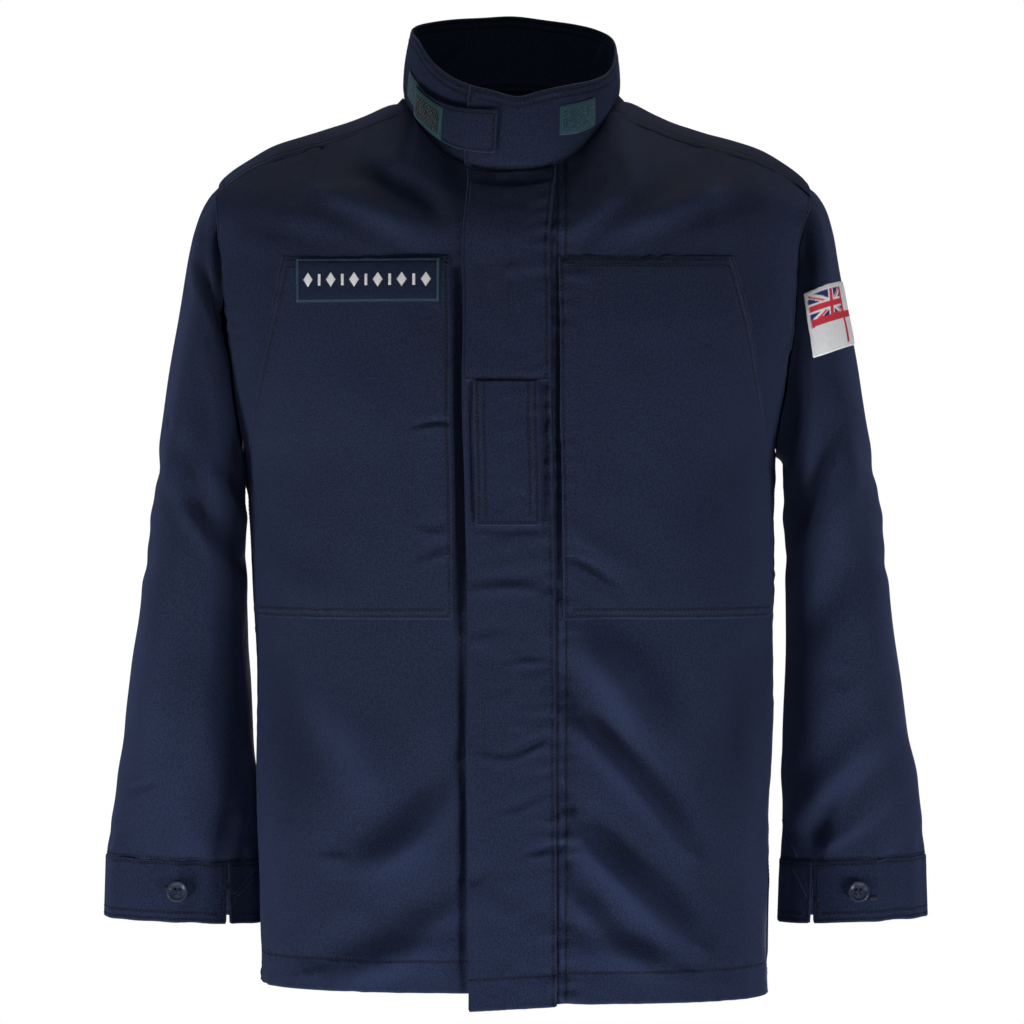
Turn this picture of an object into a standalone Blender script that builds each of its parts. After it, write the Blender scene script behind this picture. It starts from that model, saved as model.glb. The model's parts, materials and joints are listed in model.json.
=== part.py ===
"""Field jacket, closed and filled out as if worn, with nobody in it.

Frame: metres, +Z up, the front faces -Y and +X is the wearer's left.
The origin is the middle of the neck opening, level with the base of the neck.
Every cloth piece is a thin wall.  The body and sleeves are lofts through sections
worked out from the tables below; what is sewn on a panel is made from the panel's
own points, moved out.
"""
import math
from collections import namedtuple

import bmesh
import bpy
from mathutils import Vector

COLLECTION_NAME = "field_jacket"

# ---------------------------------------------------------------- cloth and gaps
CLOTH = 0.0015              # wall of the body and sleeves
FOLDED_CLOTH = 0.0022       # wall of a collar or cuff, two plies
PATCH_CLOTH = 0.0012        # wall of what is sewn on
SEAM_SHIFT = 0.0002         # each piece stands off its seam by this much
SLEEVE_SHIFT = 0.0006       # a sleeve stands off the armhole by this much
STACK_GAP = 0.0007          # air under a piece that lies on another
NOTHING = Vector((0.0, 0.0, 0.0))
DOWN = Vector((0.0, 0.0, -1.0))
BODY_MIDDLE = Vector((0.0, 0.012, -0.35))
PLACE_STEPS = 40            # how a place on a grid is searched
PLACE_PROBE = 0.05
PLACE_HASTE = 0.5
GRID_MARGIN = 0.2           # a layer's edge keeps this far from the next row or column

# ---------------------------------------------------------------- body sections
# One row for each height: half the width, the front's, back's and side seam's depth,
# how far the section stands off centre, and the pocket's outer edge.
Section = namedtuple("Section", "z half_width front_y back_y side_y shift pocket_edge")
BODY = (
    Section(-0.740, 0.2085, -0.113, 0.134, 0.000, 0.001, 0.200),
    Section(-0.600, 0.2110, -0.119, 0.137, 0.005, 0.000, 0.206),
    Section(-0.420, 0.2150, -0.124, 0.142, 0.013, -0.001, 0.2110),
    Section(-0.350, 0.2175, -0.125, 0.145, 0.018, -0.002, 0.2150),
    Section(-0.290, 0.2200, -0.125, 0.148, 0.020, -0.003, 0.2140),
    Section(-0.260, 0.2294, -0.125, 0.150, 0.020, -0.004, 0.2105),
    Section(-0.235, 0.2392, -0.124, 0.151, 0.020, -0.004, 0.2060),
    Section(-0.175, 0.2543, -0.120, 0.152, 0.020, -0.004, 0.1945),
    Section(-0.127, 0.2518, -0.115, 0.150, 0.020, -0.005, 0.1825),
)
FRONT_POWER = 2.5
BACK_POWER = 3.0

HEM_Z = -0.726
HEM_DROP = 0.0045           # the wearer's left hem hangs lower, the right one higher
HEM_DEPTH = 0.025
POCKET_BOTTOM_Z = -0.420
ARMPIT_Z = -0.290
POCKET_TOP_Z = -0.127
SKIRT_ROWS = 6              # from the hem's stitching to the pocket's bottom
WAIST_ROWS = 4              # from there to the armpit
ARMHOLE_ROWS = 6            # from there to the pocket's top
FRONT_RISE_ROWS = 5         # from there to the collar and the shoulder seam
BACK_RISE_ROWS = 8
POCKET_ROW = 1 + SKIRT_ROWS             # row of the pocket's bottom
ARMPIT_ROW = POCKET_ROW + WAIST_ROWS
POCKET_TOP_ROW = ARMPIT_ROW + ARMHOLE_ROWS

# ---------------------------------------------------------------- armhole, neck, shoulder
ARMHOLE_MIDDLE_Z = -0.185
ARMHOLE_HALF_HEIGHT = 0.105
ARMHOLE_FRONT = 0.072       # reach in front of the side seam
ARMHOLE_BACK = 0.078

NECK_HALF_WIDTH = 0.0895
NECK_X = -0.003              # the neck stands a little to the wearer's right
NECK_Y = -0.008
NECK_FRONT = 0.080
NECK_BACK = 0.075
NECK_FRONT_Z = -0.056
NECK_SIDE_Z = 0.009
NECK_BACK_Z = 0.025
NECK_SEAM_ANGLE = 67.0      # where the shoulder seam meets the neckline, from centre front

SeamRow = namedtuple("SeamRow", "x y z")
SHOULDER_SEAM = (
    SeamRow(0.0824, -0.0390, -0.0055),
    SeamRow(0.1200, -0.0370, -0.0215),
    SeamRow(0.1590, -0.0350, -0.0345),
    SeamRow(0.1920, -0.0330, -0.0430),
    SeamRow(0.2208, -0.0310, -0.0560),
    SeamRow(0.2450, -0.0300, -0.0740),
)
SHOULDER_SLOPE = 37.0       # the cloth's fall across the shoulder seam, in degrees
THROAT_SLOPE = 68.0         # its rise below the throat
NAPE_SLOPE = 50.0           # its rise below the nape
RISE_PULL = 0.40            # handle of the rise's curve, as a part of its span
NECK_LEAN = 0.60            # how far the back's cloth comes round the neck from outside
SHOULDER_FALL = 0.43        # the shoulder's fall for each step away from the neck
NECK_LOOSE = 0.45           # how much less the slope beside the neck holds
NAPE_TURN = 0.6             # how soon the slope turns from the shoulder's to the nape's

# ---------------------------------------------------------------- front columns
PLACKET_HALF_WIDTH = {-1: 0.0365, 1: 0.0330}
POCKET_OPENING_X = {-1: 0.0480, 1: 0.0410}
OPENING_COLUMN = 3
POCKET_COLUMNS = 7
SIDE_COLUMNS = 3
THROAT_ANGLES = (34.0, 45.0, 56.0)      # neckline columns beside the placket
SHOULDER_COLUMNS = 7
NAPE_COLUMNS = 6
BACK_NAPE_X = 0.114                     # where the neck's columns leave the shoulder's

# ---------------------------------------------------------------- sleeves
# One row for each ring below the armhole: its inner and outer ends, front and back,
# and how much further out the ends of the wearer's left sleeve hang.
Ring = namedtuple("Ring", "inner_x inner_z outer_x outer_z front_y back_y left_in left_out")
SLEEVE = (
    Ring(0.2226, -0.2970, 0.2570, -0.0790, -0.056, 0.099, 0.0000, 0.0000),
    Ring(0.2232, -0.3040, 0.2640, -0.1000, -0.060, 0.101, 0.0000, 0.0000),
    Ring(0.2238, -0.3120, 0.2705, -0.1350, -0.062, 0.102, 0.0005, 0.0002),
    Ring(0.2242, -0.3220, 0.2780, -0.1750, -0.062, 0.102, 0.0010, 0.0005),
    Ring(0.2244, -0.3350, 0.2855, -0.2170, -0.061, 0.101, 0.0015, 0.0007),
    Ring(0.2244, -0.3510, 0.2920, -0.2600, -0.060, 0.100, 0.0020, 0.0009),
    Ring(0.2240, -0.3720, 0.2980, -0.3060, -0.059, 0.099, 0.0025, 0.0012),
    Ring(0.2232, -0.3970, 0.3035, -0.3500, -0.057, 0.098, 0.0030, 0.0014),
    Ring(0.2222, -0.4250, 0.3090, -0.3940, -0.055, 0.097, 0.0035, 0.0016),
    Ring(0.2212, -0.4530, 0.3140, -0.4330, -0.053, 0.096, 0.0040, 0.0019),
    Ring(0.2200, -0.4810, 0.3190, -0.4690, -0.050, 0.095, 0.0048, 0.0023),
    Ring(0.2186, -0.5080, 0.3235, -0.5010, -0.046, 0.094, 0.0056, 0.0026),
    Ring(0.2172, -0.5340, 0.3275, -0.5300, -0.041, 0.092, 0.0064, 0.0030),
    Ring(0.2158, -0.5580, 0.3315, -0.5560, -0.034, 0.090, 0.0072, 0.0034),
    Ring(0.2144, -0.5810, 0.3350, -0.5790, -0.026, 0.088, 0.0080, 0.0038),
    Ring(0.2130, -0.6030, 0.3375, -0.6000, -0.018, 0.086, 0.0088, 0.0041),
    Ring(0.2116, -0.6250, 0.3395, -0.6200, -0.011, 0.084, 0.0096, 0.0045),
)
SLEEVE_POWER = 2.2
FOLD_FADE = 3               # rings below the armhole before its folds are full

CUFF_DEPTH = 0.050
CUFF_PROUD = 0.0010         # the cuff stands out from the sleeve's end
CUFF_GAP = 0.0004
CUFF_TAPER = 0.0015
CUFF_COLUMNS = 26
CUFF_ROWS = 2
CUFF_NOTCH_ANGLE = 56.0     # the slit, from the inner end towards the front
CUFF_NOTCH_TOP = 0.6        # half the slit's width at the top, in degrees
CUFF_NOTCH_FOOT = 2.4

BUTTON_RADIUS = 0.0091
BUTTON_HEIGHT = 0.0034
BUTTON_RIM = 0.0022
BUTTON_DISH = 0.0010
BUTTON_ROUND = 0.0007
BUTTON_SEGMENTS = 24
FRONT_BUTTON_ANGLE = 90.0  # round the cuff, from its inner end

# ---------------------------------------------------------------- collar
# One row for each direction from centre front: height of the top edge on the wearer's
# right and left.
CollarRow = namedtuple("CollarRow", "angle right_z left_z")
COLLAR_TOP = (
    CollarRow(0.0, 0.0030, 0.0015),
    CollarRow(30.0, 0.0150, 0.0125),
    CollarRow(50.0, 0.0310, 0.0185),
    CollarRow(70.0, 0.0540, 0.0290),
    CollarRow(90.0, 0.0640, 0.0500),
    CollarRow(115.0, 0.0720, 0.0640),
    CollarRow(145.0, 0.0790, 0.0750),
    CollarRow(180.0, 0.0825, 0.0825),
)
COLLAR_TOP_HALF_WIDTH = 0.0850
COLLAR_TOP_FRONT = 0.0790
COLLAR_TOP_BACK = 0.0690
COLLAR_ROWS = 4
COLLAR_BOW = 0.0020         # its outer face swells by this much
COLLAR_LAP_END = 24.0       # the outer end passes centre front by this many degrees
COLLAR_UNDER_END = 12.0     # the inner end passes it by this many
COLLAR_LAP_STANDOFF = 0.0031
COLLAR_LAP_HOLD = 6.0       # it stands off fully up to here, and less and less after
COLLAR_LAP_FADE = 58.0

# What is sewn on the collar: directions from centre front (the wearer's right is
# negative), heights as parts of the collar at the first and at the last direction,
# and how far it stands off at each.
CollarPatch = namedtuple(
    "CollarPatch", "name start end low_start high_start low_end high_end off_start off_end columns"
)
COLLAR_PATCHES = (
    CollarPatch("collar_loop_right", -70.0, -53.0, 0.20, 0.56, 0.16, 0.56, 0.0006, 0.0006, 2),
    CollarPatch("collar_tab", -58.0, -8.0, 0.11, 0.56, 0.22, 0.78, 0.0022, 0.0042, 6),
    CollarPatch("tab_hook_patch", -57.0, -37.0, 0.14, 0.55, 0.17, 0.60, 0.0044, 0.0050, 3),
    CollarPatch("collar_loop_left", 25.0, 48.0, 0.38, 0.76, 0.24, 0.72, 0.0022, 0.0012, 3),
)

# ---------------------------------------------------------------- placket, pockets, patches
PATCH_ROWS = 2
NAME_PATCH_COLUMNS = 6
PLACKET_COLUMNS = 4
PLACKET_LIFT = 0.0009
PLACKET_FREE_LIFT = 0.0022  # the placket's free edge stands off by this much
PLACKET_FOOT_Z = -0.7360    # its foot hangs below the hem, lowest at the free edge
PLACKET_FOOT_RISE = 0.0040
PLACKET_TOP_PART = 0.82     # part of the last row that it fills, below the collar
PLACKET_TOP_END_Z = -0.2286     # foot of its upper layer
PLACKET_TOP_HEAD_Z = -0.0720
PLACKET_TOP_X = (-0.0380, 0.0280)
RANK_TAB_X = (-0.0300, 0.0210)
RANK_TAB_END_Z = -0.3445
RANK_TAB_HEAD_Z = -0.2291
POCKET_LIFT = 0.0008
POCKET_BULGE = 0.0035
POCKET_FULLNESS = 0.6       # how soon the pocket stands off, up from its bottom
POCKET_GAPE = 0.7           # how slowly it closes, away from its opening
NAME_PATCH_X = (-0.1755, -0.0600)
NAME_PATCH_Z = (-0.1645, -0.1285)
FLAG_FOOT = (0.1850, 0.3000)        # hoist and fly of its foot: depth and width added up
FLAG_HEAD = (0.1855, 0.2910)
FLAG_LEVEL = (-0.2936, -0.2380)     # its foot and head, less the slant's rise
FLAG_SLANT = 0.35                   # rise of its edges for each step away from the body
FLAG_LIFT = 0.0024
FLAG_SEARCH = (2.0, 5.0)            # ring and column where its places are first looked for
FLAG_ROWS = 3
FLAG_COLUMNS = 10

# ---------------------------------------------------------------- folds
# Largest folds: a line from (x1, z1) to (x2, z2) as seen from the front or back, the
# fold's half width and its height (a trough is negative).
Fold = namedtuple("Fold", "x1 z1 x2 z2 width height")
FRONT_FOLDS = (
    Fold(0.046, -0.462, 0.140, -0.588, 0.017, -0.0030),
    Fold(0.062, -0.448, 0.160, -0.570, 0.018, 0.0024),
    Fold(0.041, -0.588, 0.140, -0.659, 0.016, -0.0030),
    Fold(0.060, -0.560, 0.165, -0.640, 0.018, 0.0022),
    Fold(-0.042, -0.541, -0.132, -0.600, 0.016, -0.0030),
    Fold(-0.060, -0.515, -0.150, -0.570, 0.018, 0.0022),
    Fold(-0.042, -0.636, -0.156, -0.695, 0.017, -0.0030),
    Fold(-0.055, -0.600, -0.160, -0.662, 0.018, 0.0020),
    Fold(-0.123, -0.058, -0.068, -0.092, 0.010, -0.0020),
    Fold(-0.164, -0.072, -0.081, -0.113, 0.012, 0.0018),
    Fold(0.045, -0.113, 0.090, -0.068, 0.011, 0.0018),
    Fold(0.083, -0.109, 0.175, -0.068, 0.012, 0.0016),
)
BACK_FOLDS = (
    Fold(-0.130, -0.180, -0.060, -0.330, 0.020, 0.0026),
    Fold(0.130, -0.180, 0.060, -0.330, 0.020, 0.0026),
    Fold(-0.175, -0.200, -0.115, -0.400, 0.018, -0.0026),
    Fold(0.175, -0.200, 0.115, -0.400, 0.018, -0.0026),
    Fold(-0.090, -0.470, -0.030, -0.660, 0.020, 0.0024),
    Fold(0.100, -0.450, 0.030, -0.640, 0.020, 0.0024),
    Fold(0.000, -0.430, 0.015, -0.700, 0.017, -0.0024),
    Fold(-0.150, -0.480, -0.120, -0.690, 0.018, -0.0022),
    Fold(0.150, -0.500, 0.130, -0.690, 0.018, -0.0022),
)
RIGHT_SLEEVE_FOLDS = (
    Fold(0.262, -0.120, 0.236, -0.205, 0.009, -0.0030),
    Fold(0.272, -0.150, 0.246, -0.235, 0.012, 0.0026),
    Fold(0.270, -0.175, 0.277, -0.300, 0.014, 0.0022),
    Fold(0.277, -0.308, 0.250, -0.350, 0.012, -0.0030),
    Fold(0.262, -0.345, 0.234, -0.390, 0.013, 0.0028),
    Fold(0.245, -0.300, 0.226, -0.335, 0.012, -0.0026),
    Fold(0.262, -0.430, 0.236, -0.500, 0.014, -0.0024),
    Fold(0.300, -0.520, 0.245, -0.560, 0.013, -0.0020),
    Fold(0.262, -0.585, 0.250, -0.615, 0.012, 0.0022),
)
LEFT_SLEEVE_FOLDS = (
    Fold(0.262, -0.245, 0.238, -0.352, 0.014, -0.0030),
    Fold(0.281, -0.240, 0.262, -0.360, 0.015, 0.0024),
    Fold(0.248, -0.230, 0.236, -0.290, 0.012, 0.0022),
    Fold(0.272, -0.370, 0.240, -0.425, 0.014, -0.0024),
    Fold(0.300, -0.420, 0.268, -0.500, 0.016, 0.0022),
    Fold(0.290, -0.480, 0.250, -0.555, 0.014, -0.0022),
    Fold(0.282, -0.560, 0.258, -0.610, 0.012, 0.0024),
    Fold(0.268, -0.575, 0.246, -0.616, 0.010, -0.0024),
)
FOLD_FACE = 0.25            # a face turned less than this to the front or back has none
FOLD_END = 0.25             # how far a fold's ends have died out, and over what part of it
FOLD_RUN = 0.5

# ---------------------------------------------------------------- materials
Finish = namedtuple("Finish", "color roughness metallic")
CLOTH_FINISH = Finish((0.013, 0.018, 0.048), 0.78, 0.0)
TRIM_FINISH = Finish((0.010, 0.015, 0.040), 0.80, 0.0)
LOOP_FINISH = Finish((0.014, 0.070, 0.085), 0.90, 0.0)
HOOK_FINISH = Finish((0.004, 0.030, 0.026), 0.70, 0.0)
FLAG_FINISH = Finish((0.800, 0.800, 0.800), 0.75, 0.0)
BUTTON_FINISH = Finish((0.012, 0.016, 0.034), 0.25, 0.0)


# ================================================================ reading the tables
def read(table, key, place, column):
    """A table's column at a place along its key column, by smooth steps between rows."""
    keys = [getattr(row, key) for row in table]
    values = [getattr(row, column) for row in table]
    if place <= keys[0]:
        return values[0]
    if place >= keys[-1]:
        return values[-1]
    last = len(keys) - 1
    i = max(n for n in range(last) if keys[n] <= place)

    def slope(n):
        low = max(n - 1, 0)
        high = min(n + 1, last)
        return (values[high] - values[low]) / (keys[high] - keys[low])

    span = keys[i + 1] - keys[i]
    t = (place - keys[i]) / span
    return (
        values[i] * (2.0 * t**3 - 3.0 * t**2 + 1.0)
        + slope(i) * span * (t**3 - 2.0 * t**2 + t)
        + values[i + 1] * (3.0 * t**2 - 2.0 * t**3)
        + slope(i + 1) * span * (t**3 - t**2)
    )


def steps(start, end, count):
    """Evenly spaced values after start, up to and with end."""
    return [start + (end - start) * n / count for n in range(1, count + 1)]


def ease(t):
    """Smooth step of t, held between 0 and 1."""
    t = min(max(t, 0.0), 1.0)
    return t * t * (3.0 - 2.0 * t)


def power(value, exponent):
    """Power of a value that may be a hair below nought."""
    return max(value, 0.0) ** exponent


def signed_power(value, exponent):
    """Power of a value's size, with the value's sign."""
    return math.copysign(abs(value) ** exponent, value)


# ================================================================ body surface
def body_point(z, side, angle):
    """Point of the section at height z; 0 degrees is centre front, 90 a side, 180 centre back."""
    half_width = read(BODY, "z", z, "half_width")
    side_y = read(BODY, "z", z, "side_y")
    shift = read(BODY, "z", z, "shift")
    turn = math.radians(angle)
    if angle <= 90.0:
        reach = read(BODY, "z", z, "front_y") - side_y
        roundness = 2.0 / FRONT_POWER
    else:
        reach = read(BODY, "z", z, "back_y") - side_y
        roundness = 2.0 / BACK_POWER
    x = half_width * power(math.sin(turn), roundness)
    y = side_y + reach * power(abs(math.cos(turn)), roundness)
    return Vector((side * x + shift, y, z))


def angle_at_x(z, x, exponent):
    """Angle from the nearer centre line at which the section is x wide."""
    return math.degrees(math.asin(min(power(x / read(BODY, "z", z, "half_width"), exponent / 2.0), 1.0)))


def x_at_angle(z, angle, exponent):
    """Half the section's width at an angle from the nearer centre line."""
    return read(BODY, "z", z, "half_width") * power(math.sin(math.radians(angle)), 2.0 / exponent)


def armhole_angle(z, reach, depth_column, exponent):
    """Angle from the nearer centre line at which the section meets the armhole."""
    if z <= ARMPIT_Z:
        return 90.0
    rise = (z - ARMHOLE_MIDDLE_Z) / ARMHOLE_HALF_HEIGHT
    stand_off = reach * math.sqrt(max(1.0 - rise * rise, 0.0))
    depth = abs(read(BODY, "z", z, depth_column) - read(BODY, "z", z, "side_y"))
    return math.degrees(math.acos(power(stand_off / depth, exponent / 2.0)))


def mixed_angles(z, x_start, x_end, count, exponent):
    """Angles between two widths, halfway between even widths and even angles."""
    angle_start = angle_at_x(z, x_start, exponent)
    angle_end = angle_at_x(z, x_end, exponent)
    by_width = steps(x_start, x_end, count)
    by_angle = [x_at_angle(z, angle, exponent) for angle in steps(angle_start, angle_end, count)]
    return [angle_at_x(z, (a + b) / 2.0, exponent) for a, b in zip(by_width, by_angle)]


def front_angles(z, side):
    """Angles of a front's columns: placket, pocket opening, pocket and side."""
    placket = PLACKET_HALF_WIDTH[side]
    opening = POCKET_OPENING_X[side]
    outer = read(BODY, "z", z, "pocket_edge")
    angles = [angle_at_x(z, x, FRONT_POWER) for x in (0.0, placket / 2.0, placket, opening)]
    angles += mixed_angles(z, opening, outer, POCKET_COLUMNS, FRONT_POWER)
    edge = armhole_angle(z, ARMHOLE_FRONT, "front_y", FRONT_POWER)
    return angles + steps(angles[-1], edge, SIDE_COLUMNS)


def back_angles(z):
    """Angles of half the back's columns, from the side to the centre, from centre front."""
    edge = armhole_angle(z, ARMHOLE_BACK, "back_y", BACK_POWER)
    edge_x = x_at_angle(z, edge, BACK_POWER)
    outer = mixed_angles(z, edge_x, BACK_NAPE_X, SHOULDER_COLUMNS, BACK_POWER)
    inner = [angle_at_x(z, x, BACK_POWER) for x in steps(BACK_NAPE_X, 0.0, NAPE_COLUMNS)]
    return [180.0 - angle for angle in [edge] + outer + inner]


def row_heights():
    """Heights of the level rows, from the hem's stitching to the pocket's top."""
    stitching = HEM_Z + HEM_DEPTH
    heights = [stitching] + steps(stitching, POCKET_BOTTOM_Z, SKIRT_ROWS)
    heights += steps(POCKET_BOTTOM_Z, ARMPIT_Z, WAIST_ROWS)
    return heights + steps(ARMPIT_Z, POCKET_TOP_Z, ARMHOLE_ROWS)


def neckline(angle, side):
    """Point of the collar seam at an angle from centre front."""
    turn = math.radians(angle)
    if angle <= 90.0:
        y = NECK_Y - NECK_FRONT * math.cos(turn)
        z = NECK_FRONT_Z + (NECK_SIDE_Z - NECK_FRONT_Z) * math.sin(turn) ** 3
    else:
        y = NECK_Y - NECK_BACK * math.cos(turn)
        z = NECK_SIDE_Z + (NECK_BACK_Z - NECK_SIDE_Z) * math.cos(turn) ** 2
    return Vector((NECK_X + side * NECK_HALF_WIDTH * math.sin(turn), y, z))


def shoulder_seam(side):
    """Points of the shoulder seam, from the neck to the armhole."""
    points = [neckline(NECK_SEAM_ANGLE, side)]
    start = SHOULDER_SEAM[0].x
    for part in steps(0.0, 1.0, SHOULDER_COLUMNS):
        x = start + (SHOULDER_SEAM[-1].x - start) * part
        y = read(SHOULDER_SEAM, "x", x, "y")
        z = read(SHOULDER_SEAM, "x", x, "z")
        points.append(Vector((side * x + NECK_X * (1.0 - part), y, z)))
    return points


def throat_angles(side):
    """Neckline angles of a front's columns."""
    placket = PLACKET_HALF_WIDTH[side]
    widths = [x - side * NECK_X for x in (0.0, placket / 2.0, placket)]
    return [math.degrees(math.asin(width / NECK_HALF_WIDTH)) for width in widths] + list(THROAT_ANGLES)


def nape_angles():
    """Neckline angles of half the back's columns, from the shoulder seam to centre back."""
    return steps(NECK_SEAM_ANGLE, 180.0, NAPE_COLUMNS)


def rise(foot, head, slope, rows, lean=0.0, hold=1.0):
    """Curve from a point of the pocket's top row up to the garment's top edge.

    It leaves the foot upwards and reaches the head at a slope in degrees, moving
    towards the head's side of the body, and sideways by lean for each step of that.
    A lower hold lets the head's slope reach less far down the curve.
    """
    pull = RISE_PULL * (head - foot).length
    heading = Vector((lean, 1.0 if head.y > foot.y else -1.0, 0.0)).normalized()
    turn = math.radians(slope)
    heading = heading * math.cos(turn) + Vector((0.0, 0.0, math.sin(turn)))
    low = foot + Vector((0.0, 0.0, pull))
    high = head - pull * hold * heading
    high.z -= SHOULDER_FALL * abs(high.x - head.x)
    curve = []
    for t in steps(0.0, 1.0, rows):
        s = 1.0 - t
        curve.append(foot * s**3 + low * 3.0 * s * s * t + high * 3.0 * s * t * t + head * t**3)
    return curve


def front_grid(side):
    """Rows of points of one front, from the hem up, each from the centre to the side."""
    rows = []
    for z in row_heights():
        rows.append([body_point(z, side, angle) for angle in front_angles(z, side)])
    hem = [Vector((p.x, p.y, HEM_Z - side * HEM_DROP)) for p in rows[0]]
    heads = [neckline(angle, side) for angle in throat_angles(side)] + shoulder_seam(side)
    slopes = []
    for angle in throat_angles(side):
        slopes.append(THROAT_SLOPE + (SHOULDER_SLOPE - THROAT_SLOPE) * angle / NECK_SEAM_ANGLE)
    slopes += [SHOULDER_SLOPE] * (SHOULDER_COLUMNS + 1)
    curves = [
        rise(foot, head, slope, FRONT_RISE_ROWS)
        for foot, head, slope in zip(rows[-1], heads, slopes)
    ]
    return [hem] + rows + [list(row) for row in zip(*curves)]


def back_half(side):
    """Rows of points of half the back, from the hem up, each from the side to the centre."""
    rows = []
    for z in row_heights():
        rows.append([body_point(z, side, angle) for angle in back_angles(z)])
    widest = abs(rows[0][0].x)
    hem = [Vector((p.x, p.y, HEM_Z - HEM_DROP * p.x / widest)) for p in rows[0]]
    hem[0].z = HEM_Z - side * HEM_DROP
    heads = list(reversed(shoulder_seam(side))) + [neckline(angle, side) for angle in nape_angles()]
    slopes = [-SHOULDER_SLOPE] * (SHOULDER_COLUMNS + 1)
    nearness = [(n / SHOULDER_COLUMNS) ** 2 for n in range(SHOULDER_COLUMNS + 1)]
    holds = [1.0] * (SHOULDER_COLUMNS + 1)
    for angle in nape_angles():
        part = (angle - NECK_SEAM_ANGLE) / (180.0 - NECK_SEAM_ANGLE)
        slopes.append(-SHOULDER_SLOPE + (NAPE_SLOPE + SHOULDER_SLOPE) * power(part, NAPE_TURN))
        nearness.append((1.0 - part) ** 2)
        holds.append(1.0 - NECK_LOOSE * (1.0 - part))
    curves = [
        rise(foot, head, slope, BACK_RISE_ROWS, -side * NECK_LEAN * near, hold)
        for foot, head, slope, near, hold in zip(rows[-1], heads, slopes, nearness, holds)
    ]
    return [hem] + rows + [list(row) for row in zip(*curves)]


def back_grid():
    """Rows of points of the whole back, from the wearer's right side to the left."""
    right = back_half(-1)
    left = back_half(1)
    return [a + list(reversed(b[:-1])) for a, b in zip(right, left)]


# ================================================================ sheets and their walls
class Sheet:
    """A grid of points on a piece's outer face, with the piece's place and wall."""

    def __init__(self, name, grid, finish, shift=NOTHING, wall=CLOTH, closed=False, inside=None):
        self.name = name
        self.grid = grid
        self.finish = finish
        self.shift = shift
        self.wall = wall
        self.closed = closed
        self.inside = inside if inside is not None else middle(grid)
        self.normals = None

    def quads(self):
        """The four row and column places of each quad."""
        columns = len(self.grid[0])
        last = columns if self.closed else columns - 1
        for r in range(len(self.grid) - 1):
            for c in range(last):
                d = (c + 1) % columns
                yield (r, c), (r, d), (r + 1, d), (r + 1, c)

    def turned_out(self):
        """1 where the quads' order already faces out of the garment, or else -1."""
        total = 0.0
        for corners in self.quads():
            a, b, c, d = [self.grid[r][k] for r, k in corners]
            total += (c - a).cross(d - b).dot((a + c) / 2.0 - self.inside)
        return 1.0 if total > 0.0 else -1.0


def middle(grid):
    """Mean of a grid's points."""
    points = [p for row in grid for p in row]
    return sum(points, Vector()) / len(points)


def key_of(point):
    """Key by which pieces that share a seam find each other's points."""
    return tuple(round(value, 6) for value in point)


def set_normals(sheets):
    """Gives every sheet its points' directions out, the same for pieces along a seam."""
    total = {}
    for sheet in sheets:
        way = sheet.turned_out()
        for corners in sheet.quads():
            a, b, c, d = [sheet.grid[r][k] for r, k in corners]
            normal = way * (c - a).cross(d - b).normalized()
            for r, k in corners:
                key = key_of(sheet.grid[r][k])
                total[key] = total.get(key, Vector()) + normal
    for sheet in sheets:
        sheet.normals = [[total[key_of(p)].normalized() for p in row] for row in sheet.grid]


def fold_height(folds, x, z):
    """Sum of the folds' heights at a place seen from the front or back."""
    height = 0.0
    for fold in folds:
        along = Vector((fold.x2 - fold.x1, fold.z2 - fold.z1))
        here = Vector((x - fold.x1, z - fold.z1))
        t = here.dot(along) / along.length_squared
        nearest = along * min(max(t, 0.0), 1.0)
        distance = (here - nearest).length
        from_end = 1.0 - abs(2.0 * min(max(t, 0.0), 1.0) - 1.0)
        fade = ease(FOLD_END + from_end / FOLD_RUN)
        height += fold.height * math.exp(-((distance / fold.width) ** 2)) * fade
    return height


def put_folds(sheet, front_folds, back_folds, mirror=1.0, fade_rows=0):
    """Moves a sheet's points out or in by its folds, none at its first fade_rows rows."""
    for r, row in enumerate(sheet.grid):
        strength = min(r / fade_rows, 1.0) if fade_rows else 1.0
        for c, point in enumerate(row):
            out = sheet.normals[r][c]
            folds = front_folds if out.y < 0.0 else back_folds
            facing = ease((abs(out.y) - FOLD_FACE) / (1.0 - FOLD_FACE))
            row[c] = point + out * fold_height(folds, mirror * point.x, point.z) * facing * strength


def triangles(corners):
    """A quad's two triangles, always cut the same way."""
    a, b, c, d = corners
    return (a, b, c), (a, c, d)


def wall_mesh(name, outer, inner, closed):
    """Closed mesh between an outer and an inner grid of points."""
    rows = len(outer)
    columns = len(outer[0])
    mesh = bmesh.new()
    out = [[mesh.verts.new(p) for p in row] for row in outer]
    back = [[mesh.verts.new(p) for p in row] for row in inner]
    last = columns if closed else columns - 1
    faces = []
    for r in range(rows - 1):
        for c in range(last):
            d = (c + 1) % columns
            faces += triangles((out[r][c], out[r][d], out[r + 1][d], out[r + 1][c]))
            for face in triangles((back[r][c], back[r][d], back[r + 1][d], back[r + 1][c])):
                faces.append(tuple(reversed(face)))
    for c in range(last):
        d = (c + 1) % columns
        faces += triangles((out[0][d], out[0][c], back[0][c], back[0][d]))
        faces += triangles((out[-1][c], out[-1][d], back[-1][d], back[-1][c]))
    if not closed:
        for r in range(rows - 1):
            faces += triangles((out[r][0], out[r + 1][0], back[r + 1][0], back[r][0]))
            faces += triangles((out[r + 1][-1], out[r][-1], back[r][-1], back[r + 1][-1]))
    for face in faces:
        mesh.faces.new(face)
    if mesh.calc_volume(signed=True) < 0.0:
        bmesh.ops.reverse_faces(mesh, faces=mesh.faces[:])
    data = bpy.data.meshes.new(name)
    mesh.to_mesh(data)
    mesh.free()
    return data


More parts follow.
